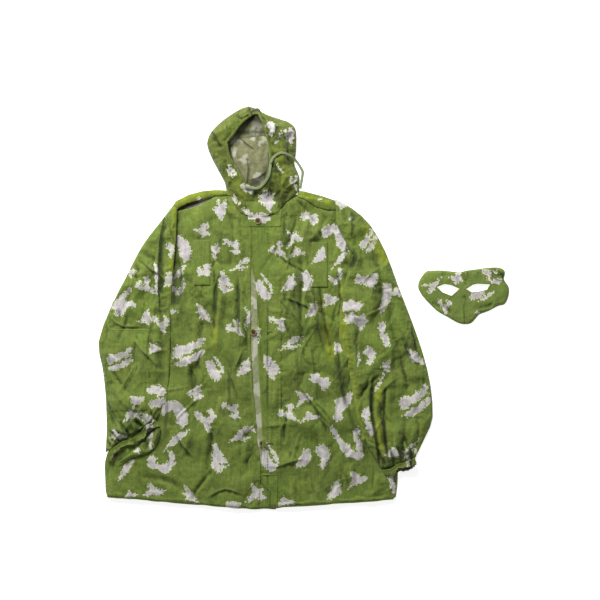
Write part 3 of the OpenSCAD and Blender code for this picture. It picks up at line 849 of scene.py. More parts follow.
def printed_cotton(name, green=(104, 120, 52), sun=(138, 148, 34), depth=1.0, rim_tone=(206, 211, 176)):
    """The day side: green ground, pale blotches with a yellowish rim, slubs, wear and stitch lines, with
    painted highlights on crests and lit fold bands, painted shade in creases, and painted shadows.
    """
    n = Nodes(name)
    cloth = n.add("UVMap", uv_map="cloth").outputs[0]
    normal, slub = weave_bump(n, cloth, depth)
    broad = n.noise(cloth, 7.0, 3.0)
    patch = n.noise(n.stretched(cloth, (1.0, 0.5, 1.0)), 24.0, 3.0, 0.6)
    deeper = linear(green[0] - 10, green[1] - 6, green[2] - 10)
    lighter = linear(green[0] + 16, green[1] + 17, green[2] + 4)
    ground = n.mix(n.range(broad, 0.35, 0.68), linear(*green), deeper)
    ground = n.mix(n.range(patch, 0.42, 0.7, 0.0, 0.55), ground, lighter)
    # Painted highlight on lit fold bands, where the cloth is also partly yellowed
    ground = n.mix(n.range(n.attribute("sun"), 0.0, 1.0, 0.0, 0.7), ground, linear(*sun))
    mask, rim = blotch_mask(n, cloth)
    pale = n.mix(n.range(n.noise(cloth, 60.0, 3.0), 0.35, 0.7), linear(186, 179, 182), linear(200, 197, 192))
    pale = n.mix(n.math("MULTIPLY", rim, 0.7), pale, linear(*rim_tone))
    # The same painted highlight on the pale blotches
    pale = n.mix(n.range(n.attribute("sun"), 0.0, 1.0, 0.0, 0.3), pale, linear(205, 210, 140))
    colour = n.mix(mask, ground, pale)
    streak = n.noise(n.stretched(cloth, (260.0, 14.0, 1.0)), 1.0, 2.0)
    across = n.noise(n.stretched(cloth, (16.0, 240.0, 1.0)), 1.0, 2.0)
    threads = n.math("MULTIPLY", n.range(slub, 0.3, 0.7, 0.94, 1.06), n.range(streak, 0.3, 0.7, 0.9, 1.1))
    threads = n.math("MULTIPLY", threads, n.range(across, 0.3, 0.7, 0.95, 1.05))
    shade = n.add("CombineColor")
    for socket in shade.inputs:
        n.put(socket, threads)
    colour = n.mix(1.0, colour, shade.outputs[0], "MULTIPLY")
    line = n.range(n.attribute("seam"), 0.0007, 0.0024, 0.36, 0.0)
    colour = n.mix(line, colour, linear(38, 46, 16))
    worn = n.range(n.attribute("edge"), 0.0, 0.0030, 0.28, 0.0)
    colour = n.mix(worn, colour, linear(140, 150, 84))
    fleck = n.noise(n.stretched(cloth, (1.0, 0.4, 1.0)), 170.0, 3.0, 0.7)
    colour = n.mix(n.range(fleck, 0.56, 0.74, 0.0, 0.42), colour, linear(164, 176, 88))
    colour = n.mix(n.range(fleck, 0.30, 0.44, 0.30, 0.0), colour, linear(62, 76, 26))
    # Painted highlight on crests, painted shade in hollows and at pleat feet, then painted shadow from the
    # shade attribute
    painted_fold_light = n.attribute("painted_fold_light")
    colour = n.mix(n.range(painted_fold_light, -1.0, -0.08, 0.6, 0.0), colour, linear(166, 180, 86))
    colour = n.mix(n.range(painted_fold_light, 0.1, 1.0, 0.0, 0.72), colour, linear(30, 40, 12))
    colour = n.mix(n.attribute("shade"), colour, linear(22, 28, 10))
    n.put(n.shader.inputs["Base Color"], colour)
    n.put(n.shader.inputs["Normal"], normal)
    n.put(n.shader.inputs["Roughness"], n.range(patch, 0.3, 0.7, 0.78, 0.95))
    n.shader.inputs["Sheen Weight"].default_value = 0.12
    n.shader.inputs["Sheen Roughness"].default_value = 0.5
    n.shader.inputs["Specular IOR Level"].default_value = 0.25
    return n.material


def reverse_cotton(name, base=(160, 162, 118)):
    """The wrong side: dull khaki, the print showing through softly, with painted shade in creases and painted
    shadows.
    """
    n = Nodes(name)
    cloth = n.add("UVMap", uv_map="cloth").outputs[0]
    normal, slub = weave_bump(n, cloth, 0.8)
    mottle = n.noise(cloth, 90.0, 4.0, 0.65)
    deeper = linear(base[0] - 26, base[1] - 24, base[2] - 26)
    ground = n.mix(n.range(mottle, 0.35, 0.7), linear(*base), deeper)
    soft = n.math("ADD", n.attribute("print_d"), n.math("MULTIPLY", n.math("SUBTRACT", mottle, 0.5), 0.016))
    through = n.range(soft, -0.004, 0.002, 0.55, 0.0)
    colour = n.mix(through, ground, linear(204, 204, 188))
    line = n.range(n.attribute("seam"), 0.0007, 0.0026, 0.6, 0.0)
    colour = n.mix(line, colour, linear(70, 70, 44))
    # Painted shade in hollows and at pleat feet, then painted shadow from the shade attribute
    colour = n.mix(n.range(n.attribute("painted_fold_light"), 0.1, 1.0, 0.0, 0.55), colour, linear(60, 62, 40))
    colour = n.mix(n.attribute("shade"), colour, linear(34, 34, 24))
    n.put(n.shader.inputs["Base Color"], colour)
    n.put(n.shader.inputs["Normal"], normal)
    n.put(n.shader.inputs["Roughness"], n.range(slub, 0.3, 0.7, 0.82, 0.96))
    n.shader.inputs["Specular IOR Level"].default_value = 0.2
    return n.material


def plain_weave(name, base, dark, pitch=0.0016, rough=0.8):
    """Tape, elastic or sewing thread: a narrow herringbone of two tones."""
    n = Nodes(name)
    place = n.add("TexCoord").outputs["Object"]
    split = n.add("SeparateXYZ")
    n.put(split.inputs[0], place)
    k = 2 * math.pi / pitch
    a = n.math("SINE", n.math("MULTIPLY", n.math("ADD", split.outputs[0], split.outputs[1]), k))
    b = n.math("SINE", n.math("MULTIPLY", n.math("SUBTRACT", split.outputs[0], split.outputs[1]), k))
    braid = n.math("MAXIMUM", a, b)
    grime = n.noise(place, 120.0, 3.0)
    colour = n.mix(n.range(braid, -0.2, 1.0), linear(*dark), linear(*base))
    colour = n.mix(n.range(grime, 0.5, 0.75, 0.0, 0.5), colour, linear(*dark))
    bump = n.add("Bump")
    bump.inputs["Strength"].default_value = 0.6
    bump.inputs["Distance"].default_value = 0.0004
    n.put(bump.inputs["Height"], braid)
    n.put(n.shader.inputs["Base Color"], colour)
    n.put(n.shader.inputs["Normal"], bump.outputs[0])
    n.shader.inputs["Roughness"].default_value = rough
    return n.material


def horn(name, light=(158, 138, 96), dark=(84, 68, 44)):
    """Mottled tan and brown button plastic, glossy on the rim and dark in the sunk middle."""
    n = Nodes(name)
    place = n.add("TexCoord").outputs["Object"]
    swirl = n.noise(place, 180.0, 4.0, 0.6)
    colour = n.mix(n.range(swirl, 0.35, 0.65), linear(*light), linear(*dark))
    n.put(n.shader.inputs["Base Color"], colour)
    bump = n.add("Bump")
    bump.inputs["Strength"].default_value = 0.3
    bump.inputs["Distance"].default_value = 0.0003
    n.put(bump.inputs["Height"], swirl)
    n.put(n.shader.inputs["Normal"], bump.outputs[0])
    n.put(n.shader.inputs["Roughness"], n.range(swirl, 0.3, 0.7, 0.25, 0.45))
    return n.material


COTTON = printed_cotton("printed_cotton")
HOOD_COTTON = printed_cotton("printed_cotton_hood", green=(92, 103, 42), sun=(116, 128, 36), depth=1.2)
MASK_COTTON = printed_cotton("printed_cotton_mask", green=(112, 129, 62), rim_tone=(236, 232, 204), depth=0.9)
REVERSE = reverse_cotton("cotton_reverse", base=(150, 152, 110))
REVERSE_STRIP = reverse_cotton("cotton_reverse_strip", base=(148, 154, 116))
LINING = reverse_cotton("cotton_reverse_hood", base=(136, 136, 102))
TAPE = plain_weave("cord_tape", (148, 160, 118), (108, 122, 82))
ELASTIC = plain_weave("elastic", (222, 220, 208), (150, 148, 132), pitch=0.0012)
THREAD = plain_weave("thread", (92, 104, 52), (52, 62, 26), pitch=0.0009)
PALE_EDGE = plain_weave("pale_edge", (196, 206, 160), (132, 148, 88), pitch=0.0012)
HORN = horn("button_horn")
DARK_HORN = horn("button_horn_sunk", (74, 58, 36), (40, 30, 20))


# ---------------------------------------------------------------- turning sheets into pieces


def add_cloth_data(mesh, flat, values):
    """Stores each corner's place on the flat cloth, and values at the points, for the materials to read."""
    uv = mesh.uv_layers.new(name="cloth")
    corner = np.array([loop.vertex_index for loop in mesh.loops])
    uv.data.foreach_set("uv", flat[corner].astype(np.float32).ravel())
    for key, value in values.items():
        mesh.attributes.new(key, "FLOAT", "POINT").data.foreach_set("value", np.asarray(value, np.float32))


def to_object(name, sheet, materials, placed=(), seams=(), sun=(), folds=(), dark=(), flip=False, worn=True):
    """A finished piece of cloth, with its print, its seam lines, its painted highlights on lit and partly
    yellowed places, and its painted crease light and shadows as attributes.
    """
    tris = sheet.tris[:, ::-1] if flip else sheet.tris
    mesh = bpy.data.meshes.new(name)
    mesh.from_pydata(sheet.pos.tolist(), [], tris.tolist())
    obj = bpy.data.objects.new(name, mesh)
    bpy.context.scene.collection.objects.link(obj)
    seam = np.full(len(sheet.flat), 0.03)
    for path in seams:
        seam = np.minimum(seam, to_path(sheet.flat, path)[0])
    # Painted highlight along lit fold bands, on partly yellowed cloth
    highlight_and_fading_amount = np.zeros(len(sheet.flat))
    for width, path in sun:
        d = to_path(sheet.flat, mm(path))[0]
        highlight_and_fading_amount = np.maximum(highlight_and_fading_amount, np.exp(-((d / (width * MM)) ** 2)))
    highlight_and_fading_amount *= 0.7 + 0.5 * noise(sheet.flat, 0.03, 5) + 0.3 * noise(sheet.flat, 0.011, 6)
    edge = np.full(len(sheet.flat), 0.03)
    for ring in [sheet.outline] + list(sheet.holes) if worn else []:
        edge = np.minimum(edge, to_path(sheet.flat, np.vstack([ring, ring[:1]]))[0])
    # Painted crease light: hollows get painted shade and crests a painted highlight, and the feet of pleats
    # get painted shadow lines
    deep = np.zeros(len(sheet.flat)) if sheet.tris.shape[1] == 4 else sheet.hollows()
    # Painted shadows along the given dark paths
    shade = np.zeros(len(sheet.flat))
    for width, strength, path in dark:
        d = to_path(sheet.flat, mm(path))[0]
        shade = np.maximum(shade, strength * np.exp(-((d / (width * MM)) ** 2)))
    add_cloth_data(mesh, sheet.flat, {
        "print_d": print_distance(sheet.flat, placed),
        "seam": seam,
        "sun": np.clip(highlight_and_fading_amount, 0, 1),
        "edge": edge,
        "painted_fold_light": np.clip(np.maximum(deep, fold_lines(sheet.flat, folds)), -1, 1),
        "shade": shade,
    })
    for m in materials:
        mesh.materials.append(m)
    mesh.polygons.foreach_set("use_smooth", np.ones(len(mesh.polygons), bool))
    solid = obj.modifiers.new("thickness", "SOLIDIFY")
    solid.thickness = CLOTH_T
    solid.offset = -1
    solid.material_offset = 1 if len(materials) > 1 else 0
    return obj


def plain_object(name, vertices, faces, material, smooth=True):
    mesh = bpy.data.meshes.new(name)
    mesh.from_pydata([tuple(v) for v in vertices], [], [tuple(int(i) for i in f) for f in faces])
    mesh.materials.append(material)
    if smooth:
        mesh.polygons.foreach_set("use_smooth", np.ones(len(mesh.polygons), bool))
    obj = bpy.data.objects.new(name, mesh)
    bpy.context.scene.collection.objects.link(obj)
    return obj


def finish_piece(obj, body, slot, *nodes):
    """Rides a piece on one body; when body is (a, b, start, end), it only bakes the piece's place into its
    mesh.
    """
    if isinstance(body, str):
        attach(obj, body)
    else:
        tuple(body[2])
        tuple(body[3])
        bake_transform(obj)
    if nodes:
        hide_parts(*nodes)
    return obj


def cloth_piece(name, sheet, placed, body, *nodes, materials=(), slot="printed_cotton", **look):
    """Makes a piece of cloth, by default printed outside and dull inside, and hangs it on its body, or only
    bakes its place into its mesh when given (a, b, start, end).
    """
    obj = to_object(name, sheet, materials or [COTTON, REVERSE], placed, **look)
    return finish_piece(obj, body, slot, *nodes)


def tube(name, path, radii, material, sides=8, closed=False):
    """A tube of oval section along 3-D points; radii is (across, upward), once or for each point."""
    p = np.array(path, float)
    n = len(p)
    ahead = np.roll(p, -1, axis=0) - np.roll(p, 1, axis=0) if closed else np.gradient(p, axis=0)
    ahead /= np.linalg.norm(ahead, axis=1)[:, None]
    across = np.cross(np.array([0, 0, 1.0]), ahead)
    across /= np.maximum(np.linalg.norm(across, axis=1), 1e-9)[:, None]
    lift = np.cross(ahead, across)
    turn = np.arange(sides) * 2 * np.pi / sides
    r = np.broadcast_to(np.array(radii, float), (n, 2))
    ring = across[:, None] * (np.cos(turn)[None, :] * r[:, :1])[:, :, None]
    ring = ring + lift[:, None] * (np.sin(turn)[None, :] * r[:, 1:])[:, :, None]
    vertices = (p[:, None] + ring).reshape(-1, 3)
    faces = []
    for i in range(n if closed else n - 1):
        k = (i + 1) % n
        for j in range(sides):
            m = (j + 1) % sides
            faces.append((i * sides + j, i * sides + m, k * sides + m, k * sides + j))
    if not closed:
        faces.append(tuple(reversed(range(sides))))
        faces.append(tuple(range((n - 1) * sides, n * sides)))
    return plain_object(name, vertices, faces, material)


class Surface:
    """Looks up the height of a shaped sheet, so that stitches and patches can lie on it."""

    def __init__(self, *sheets):
        points = np.vstack([s.pos for s in sheets])
        start = np.cumsum([0] + [len(s.pos) for s in sheets[:-1]])
        tris = np.vstack([s.tris + k for s, k in zip(sheets, start)])
        self.tree = BVHTree.FromPolygons(points.tolist(), tris.tolist())

    def height(self, xy, default):
        out = np.array(default, float) * np.ones(len(xy))
        for i, (x, y) in enumerate(xy):
            hit = self.tree.ray_cast((x, y, 0.2), (0, 0, -1))
            if hit[0] is not None:
                out[i] = hit[0].z
        return out


def stitches(name, surface, paths, material, length=0.0030, gap=0.0016, radius=0.00035):
    """Rows of sewing: each stitch is a short thread that dips into the cloth at both ends."""
    vertices, faces = [], []
    for path in paths:
        p = resample(path, length + gap)
        z = surface.height(p, 0.01)
        for a, b, za, zb in zip(p[:-1], p[1:], z[:-1], z[1:]):
            along = (b - a) / max(np.linalg.norm(b - a), 1e-9)
            side = np.array([-along[1], along[0]]) * radius
            tip = b - along * gap
            share = length / (length + gap)
            zt = za + (zb - za) * share
            mid, zm = (a + tip) / 2, (za + zt) / 2 + radius * 1.5
            first = len(vertices)
            for xy, zz, k in ((a, za - radius * 0.5, 0.5), (mid, zm, 1.0), (tip, zt - radius * 0.5, 0.5)):
                vertices.append((*(xy + side * k), zz))
                vertices.append((*xy, zz + radius))
                vertices.append((*(xy - side * k), zz))
            for r in (0, 3):
                i = first + r
                faces += [(i, i + 1, i + 4, i + 3), (i + 1, i + 2, i + 5, i + 4), (i + 2, i, i + 3, i + 5)]
            faces += [(first, first + 2, first + 1), (first + 6, first + 7, first + 8)]
    return plain_object(name, vertices, faces, material)


# ---------------------------------------------------------------- what each layer lies on

BACK_LOOP = cad_loops("back_panel")[0]
LEG_LOOPS = [cad_loops("leg_right_front")[0], cad_loops("leg_left_front")[0]]
LEG_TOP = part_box("leg_right_back")[1].z
FRONT_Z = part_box("front_panel_right")[0].z


SIDE_LOOP = BACK_LOOP.copy()
SIDE_LOOP[SIDE_LOOP[:, 1] < -0.55] -= (0.0, 0.06)


def back_ground(xy):
    """Under the back panel: the legs where they lie, elsewhere the floor."""
    over = np.zeros(len(xy))
    for loop in LEG_LOOPS:
        over = np.maximum(over, smoothstep(-0.03, 0.01, signed_to_loop(xy, loop)))
    return 0.0006 + over * LEG_TOP


def front_ground(xy):
    return back_ground(xy) + 0.0035


# How far beyond the body's side each sleeve comes down to the floor
SLEEVE_FALL = {"right": 0.030, "left": 0.085}


def sleeve_ground(xy):
    """Under a sleeve: the body where it reaches, and the floor beyond its side."""
    beyond = -np.where(xy[:, 0] > 0, SLEEVE_FALL["left"], SLEEVE_FALL["right"])
    over = smoothstep(0.0, 1.0, (signed_to_loop(xy, BACK_LOOP) - beyond) / (0.008 - beyond))
    return 0.0008 + over * (FRONT_Z + 0.0045)


# ---------------------------------------------------------------- legs and back, under everything

HALVES = ["right", "left"]
CROTCH = np.array([0.0, -602.0]) * MM
FOLD_CORNERS = {"right": np.array([-450.0, -565.0]) * MM, "left": np.array([424.0, -574.0]) * MM}


def low_side(loop):
    """The laid body's right side bulges out below the sleeve's end."""
    swell = np.exp(-(((loop[:, 1] + 0.475) / 0.07) ** 2)) * (loop[:, 0] < -0.36)
    loop[:, 0] = loop[:, 0] * (1 - swell) + np.minimum(loop[:, 0], -0.452) * swell
    return loop


def lay_leg(side):
    """The two layers of one leg, folded up under the body."""
    loop = cad_loops(f"leg_{side}_front")[0]
    low = Sheet(loop, spacing=0.012).refine()
    edge = low.edge_distance()
    wave = crumple(low.flat, 0.06, 4)
    low.lift(lambda xy: 0.0009 + 0.0018 * np.exp(-edge / 0.008) + 0.0010 * wave)
    high = Sheet(loop, spacing=0.012).refine()
    edge = high.edge_distance()
    wave = crumple(high.flat, 0.06, 8)
    high.lift(lambda xy: 0.0027 + 0.0016 * (1 - np.exp(-edge / 0.008)) + 0.0014 * wave)
    for part, sheet, flip in (("front", low, True), ("back", high, False)):
        obj = to_object(f"leg_{side}_{part}_cloth", sheet, [COTTON, REVERSE], LEG_PRINT, flip=flip)
        finish_piece(obj, f"leg_{side}", "printed_cotton", f"leg_{side}_{part}")


def tiled(x0, y0, x1, y1, names, pitch, seed):
    """A print for a part the eye hardly sees: the same motifs on a loose grid."""
    pick = np.random.default_rng(seed)
    out = []
    for row, y in enumerate(np.arange(y0, y1, pitch)):
        for x in np.arange(x0 + (row % 2) * pitch / 2, x1, pitch):
            name = names[int(pick.integers(len(names)))]
            shift = pick.uniform(-0.2, 0.2, 2) * pitch
            out.append((name, x + shift[0], y + shift[1], float(pick.uniform(-30, 30)), 1.0))
    return out


LEG_PRINT = tiled(-440, -600, 440, 130, list(MOTIFS), 84, 3)
BACK_PRINT = tiled(-460, -600, 460, 360, list(MOTIFS), 84, 5)
for side in HALVES:
    lay_leg(side)

back = Sheet(low_side(resample(BACK_LOOP, 0.008, closed=True)), spacing=0.012).refine()
back_wave = crumple(back.flat, 0.07, 2)
back_edge = back.edge_distance()
back.lift(lambda xy: back_ground(xy) + 0.0004 + 0.0012 * back_wave + 0.0010 * np.exp(-back_edge / 0.006))
# The inside of the back is seen, in deep shadow, through the gap under the right shoulder
GAP = [(15, 0.92, [(-236, 296), (-206, 310), (-176, 322)])]
cloth_piece(
    "back_cloth", back, BACK_PRINT, "coverall", "back_panel", slot="cotton_reverse", dark=GAP, flip=True,
)


# ---------------------------------------------------------------- the two front panels and what closes them

FOLDS_RIGHT = [
    ("pleat", 7, 16, [(-86, 234), (-104, 192), (-120, 150)]),
    ("ridge", 6, 9, [(-118, 176), (-102, 51), (-110, -40), (-117, -140)]),
    ("valley", 6, 7, [(-132, 150), (-118, 40), (-130, -100)]),
    ("ridge", 5, 8, [(-46, 120), (-36, 30), (-38, -60), (-36, -110)]),
    ("valley", 7, 6, [(-52, 100), (-50, 10), (-52, -90)]),
    ("pleat", 8, 14, [(-36, 10), (-34, -50), (-36, -104)]),
    ("valley", 5, 10, [(-72, 290), (-66, 200), (-80, 120)]),
    ("pleat", 9, 20, [(-228, 170), (-214, 80), (-226, -10)]),
    ("ridge", 5, 10, [(-140, -350), (-150, -430), (-160, -490)]),
    ("valley", 5, 8, [(-126, -340), (-134, -430), (-146, -500)]),
    ("ridge", 5, 9, [(-190, -360), (-206, -410), (-220, -450)]),
    ("pleat", 6, 18, [(-60, -120), (-74, -220), (-70, -330)]),
    ("ridge", 4, 10, [(-176, -20), (-190, -130), (-214, -230)]),
    ("valley", 5, 9, [(-158, -40), (-168, -160), (-190, -260)]),
    ("pleat", 6, 16, [(-260, -200), (-262, -330), (-286, -450)]),
    ("ridge", 5, 12, [(-330, -420), (-300, -500), (-240, -560)]),
    ("valley", 5, 9, [(-350, -500), (-250, -520), (-160, -575)]),
    ("pleat", 5, 12, [(-150, -570), (-90, -540), (-30, -560)]),
    ("ridge", 4, 8, [(-190, 300), (-170, 250), (-176, 190)]),
]
FOLDS_LEFT = [
    ("pleat", 7, 14, [(123, 190), (126, 96), (123, 6), (126, -130)]),
    ("valley", 6, 7, [(138, 170), (140, 90), (136, 0), (138, -110)]),
    ("ridge", 5, 8, [(150, 60), (147, -10), (152, -80)]),
    ("pleat", 11, 16, [(172, 130), (183, 36), (195, -57), (216, -140)]),
    ("valley", 8, 8, [(186, 120), (198, 30), (212, -60), (234, -130)]),
    ("pleat", 10, 14, [(244, 78), (261, 21), (257, -34)]),
    ("ridge", 5, 7, [(84, 80), (82, 30), (82, -10)]),
    ("pleat", 6, 12, [(131, -110), (127, -210), (135, -270)]),
    ("pleat", 6, 14, [(135, -230), (178, -292), (226, -348)]),
    ("ridge", 5, 8, [(64, -246), (52, -300), (56, -340)]),
    ("ridge", 4, 8, [(14, -352), (60, -348), (108, -342)]),
    ("pleat", 5, 12, [(58, -476), (114, -456), (146, -448)]),
    ("valley", 6, 8, [(96, 300), (88, 240), (100, 190)]),
    ("ridge", 5, 9, [(170, 290), (150, 240), (140, 190)]),
    ("valley", 5, 8, [(210, 280), (196, 230), (206, 190)]),
    ("pleat", 7, 14, [(250, -130), (262, -220), (276, -310)]),
    ("ridge", 5, 10, [(190, -340), (206, -430), (196, -520)]),
    ("valley", 5, 9, [(170, -350), (182, -440), (176, -540)]),
    ("pleat", 6, 14, [(300, -500), (236, -520), (170, -560)]),
    ("ridge", 5, 10, [(120, -500), (110, -550), (120, -585)]),
]


def body_height(shift):
    """The laid front: rounded down to the back at its sides, creased all over, with its own larger folds."""

    def height(xy):
        rolled = 1 - np.exp(-np.maximum(signed_to_loop(xy, SIDE_LOOP), 0) / 0.010)
        facets = crumple(xy, 0.055, shift, (0.75, 1.5))
        large = noise(xy / (1.0, 1.8), 0.09, shift + 5)
        loft = 0.0020 + 0.0068 * facets + 0.0024 * (large + 0.6)
        return back_ground(xy) + 0.0015 + rolled * (0.0015 + loft)

    return height


def add_folds(sheet, folds, gain, shift, outline):
    """The larger folds and the fine crumple, added once the sheet has its final points."""
    inner = 1 - np.exp(-np.maximum(signed_to_loop(sheet.flat, outline), 0) / 0.009)
    fine = crumple(sheet.flat, 0.024, shift + 2, (0.7, 1.6))
    faint = crumple(sheet.flat, 0.010, shift + 6, (0.7, 1.8))
    sheet.pos[:, 2] += inner * (gain * fold_height(sheet.flat, folds) + 0.0020 * fine + 0.0006 * faint)
    return sheet


def press_flat(sheet, loop, share=0.75, reach=0.014):
    """Irons the cloth out where a doubled piece is stitched to it."""
    under = smoothstep(-reach, 0.0, signed_to_loop(sheet.flat, loop))
    near = under > 0
    terms = np.column_stack([sheet.flat[near], np.ones(near.sum())])
    plane = terms @ np.linalg.lstsq(terms, sheet.pos[near, 2], rcond=None)[0]
    sheet.pos[near, 2] += share * under[near] * (plane - sheet.pos[near, 2])


# The edge of the right front, as (x, y), that leaves a strip of the button band in sight
OPENING_EDGE = [(9, -597), (16, -500), (14, -452), (5, -384), (1, -312), (-8, -237), (-13, -99), (-12, 343)]


YOKE = {"right": mm([(-80, 283), (-50, 284), (-14, 286)]), "left": mm([(80, 284), (110, 278), (150, 282)])}
front = {}
for side, shift in (("right", 1.0), ("left", 21.0)):
    loop, slit = cad_loops(f"front_panel_{side}")[:2]
    loop = resample(loop, 0.004, closed=True)
    if side == "right":
        opening = np.abs(loop[:, 0] - loop[:, 0].max()) < 0.0005
        loop[opening, 0] = np.interp(loop[opening, 1], *mm(OPENING_EDGE).T[::-1])
        loop = low_side(loop)
    front[side] = Sheet(loop, holes=[slit]).lift(body_height(shift))


# ---------------------------------------------------------------- sleeves

FOLDS_SLEEVE = {
    "right": [
        ("pleat", 9, 20, [(-287, 20), (-287, 100), (-286, 190), (-272, 276)]),
        ("valley", 8, 8, [(-276, 250), (-276, 150), (-276, 40)]),
        ("pleat", 6, 16, [(-445, -262), (-428, -300), (-408, -340)]),
        ("pleat", 7, 16, [(-404, -250), (-380, -206), (-350, -160)]),
        ("ridge", 6, 12, [(-330, 150), (-350, 60), (-390, -20)]),
        ("valley", 5, 10, [(-350, 130), (-376, 50), (-420, -40)]),
        ("ridge", 5, 10, [(-300, -20), (-296, -120), (-300, -220)]),
        ("valley", 5, 9, [(-280, 0), (-276, -120), (-276, -240)]),
        ("pleat", 15, 9, [(-296, -300), (-326, -345), (-392, -398)]),
        ("pleat", 14, 8, [(-286, -326), (-306, -362), (-350, -402)]),
        ("pleat", 13, 8, [(-330, -280), (-372, -340), (-430, -402)]),
        ("pleat", 12, 7, [(-420, -356), (-380, -372), (-340, -362)]),
        ("valley", 6, 9, [(-290, -300), (-320, -345), (-360, -390)]),
        ("ridge", 5, 10, [(-420, -330), (-414, -380), (-420, -420)]),
        ("pleat", 5, 14, [(-440, -20), (-400, -50), (-340, -52)]),
    ],
    "left": [
        ("valley", 9, 9, [(292, 170), (296, 150), (290, 120)]),
        ("pleat", 13, 14, [(372, -470), (360, -380), (347, -300), (350, -200)]),
        ("ridge", 10, 10, [(370, -236), (366, -320), (376, -400), (384, -446)]),
        ("valley", 9, 6, [(391, -236), (387, -330), (393, -420), (400, -450)]),
        ("pleat", 9, 10, [(300, 176), (304, 150), (292, 120)]),
        ("pleat", 7, 14, [(366, -262), (386, -300), (406, -336)]),
        ("ridge", 6, 12, [(300, 240), (330, 160), (350, 60), (350, -40)]),
        ("valley", 6, 10, [(330, 230), (362, 150), (380, 60), (376, -40)]),
        ("ridge", 6, 12, [(420, 60), (436, -30), (470, -120), (490, -220)]),
        ("valley", 5, 10, [(400, 30), (410, -60), (440, -160), (456, -260)]),
        ("ridge", 6, 10, [(290, -40), (300, -130), (316, -240)]),
        ("ridge", 6, 9, [(430, -340), (420, -400), (424, -450)]),
        ("valley", 6, 8, [(450, -330), (444, -400), (448, -450)]),
        ("ridge", 6, 9, [(480, -350), (470, -400), (466, -440)]),
        ("pleat", 6, 12, [(440, -60), (470, -150), (500, -160)]),
    ],
}


def sleeve_top(side, shift):
    def height(xy):
        loop = cad_loops(f"sleeve_{side}_front")[0]
        rolled = 1 - np.exp(-np.maximum(signed_to_loop(xy, loop), 0) / 0.014)
        facets = crumple(xy, 0.050, shift, (0.8, 1.4))
        large = noise(xy, 0.1, shift + 5)
        loft = 0.0035 + 0.0075 * facets + 0.0028 * (large + 0.7)
        return sleeve_ground(xy) + 0.0035 + rolled * loft

    return height


sleeve, under_sleeve = {}, {}
for side, shift in (("right", 31.0), ("left", 51.0)):
    node = f"sleeve_{side}_front"
    sleeve[side] = Sheet(cad_loops(node)[0]).lift(sleeve_top(side, shift))
    low = Sheet(cad_loops(node)[0], spacing=0.010)
    edge = low.edge_distance()
    low.lift(lambda xy: sleeve_ground(xy) + 0.0006 + 0.0029 * np.exp(-edge / 0.010))
    under_sleeve[side] = low.refine()


# ---------------------------------------------------------------- hood

FOLDS_HOOD = [
    ("pleat", 7, 12, [(-134, 540), (-114, 510), (-100, 486)]),
    ("pleat", 9, 12, [(36, 562), (39, 537), (29, 506)]),
    ("ridge", 6, 8, [(60, 560), (58, 540), (46, 516)]),
    ("pleat", 7, 10, [(82, 552), (66, 526), (62, 506)]),
    ("pleat", 6, 12, [(50, 478), (58, 438), (76, 396)]),
    ("pleat", 8, 10, [(54, 424), (45, 375), (38, 340)]),
    ("ridge", 5, 8, [(86, 500), (84, 460), (96, 420)]),
    ("valley", 5, 8, [(100, 520), (98, 470), (112, 420)]),
    ("ridge", 5, 8, [(100, 400), (80, 370), (84, 330)]),
    ("pleat", 7, 10, [(86, 360), (76, 330), (66, 300)]),
    ("ridge", 5, 9, [(-110, 450), (-92, 410), (-84, 370)]),
    ("valley", 5, 8, [(-96, 460), (-76, 410), (-66, 370)]),
    ("ridge", 4, 8, [(-50, 360), (-40, 330), (-30, 300)]),
    ("pleat", 5, 9, [(-60, 590), (-40, 575), (-10, 590)]),
    ("pleat", 9, 8, [(10, 556), (-7, 578), (-14, 606)]),
]
THROAT = mm([(120, 341), (92, 320), (70, 292), (40, 280), (-18, 280), (-45, 291), (-66, 322)])


# The face opening, from the sharp corner in its hem on the wearer's right, over the top and round
OPENING = spline(
    mm([
        (-81, 499), (-62, 520), (-40, 552), (2, 585), (18, 566), (30, 531), (39, 489), (44, 447),
        (36, 408), (25, 378), (6, 364), (-24, 376), (-37, 397), (-55, 424), (-73, 456), (-81, 499),
    ]),
    steps=4,
)[:-1]
FACE_MID = OPENING.mean(0)
HOOD_LOOP = cad_loops("hood_centre_panel")[0]
# The hood's edge from the wearer's right side of the throat over its peak to the left side
HOOD_EDGE = mm([
    (-84, 363), (-96, 390), (-111, 417), (-130, 453), (-144, 489), (-141, 514), (-126, 540), (-93, 564),
    (-72, 585), (-42, 597), (-19, 610), (-11, 592), (8, 596), (33, 586), (55, 574), (75, 568), (95, 565),
    (120, 545), (123, 513), (122, 462), (117, 437), (133, 398), (132, 354),
])
HOOD_FULL = np.vstack([spline(HOOD_EDGE, steps=3), THROAT])


def hood_height(xy):
    """Puffed sides that stand round the opening, running down into the flat throat."""
    out = np.maximum(signed_to_loop(xy, HOOD_FULL), 0)
    rim = np.abs(to_path(xy, np.vstack([OPENING, OPENING[:1]]))[0])
    puff = 0.006 + 0.024 * (1 - np.exp(-out / 0.017))
    puff = puff - 0.004 * np.exp(-rim / 0.012)
    low = FRONT_Z + 0.0032
    share = smoothstep(0.318, 0.405, xy[:, 1])
    crisp = 0.0055 * crumple(xy, 0.040, 71.0) * (0.35 + 0.65 * share)
    return low + share * (puff - low) + crisp * (1 - np.exp(-(out + (share < 0.5)) / 0.008))


hood = Sheet(HOOD_FULL, holes=[OPENING], spacing=0.0055)
hood.lift(hood_height)


# ---------------------------------------------------------------- mask

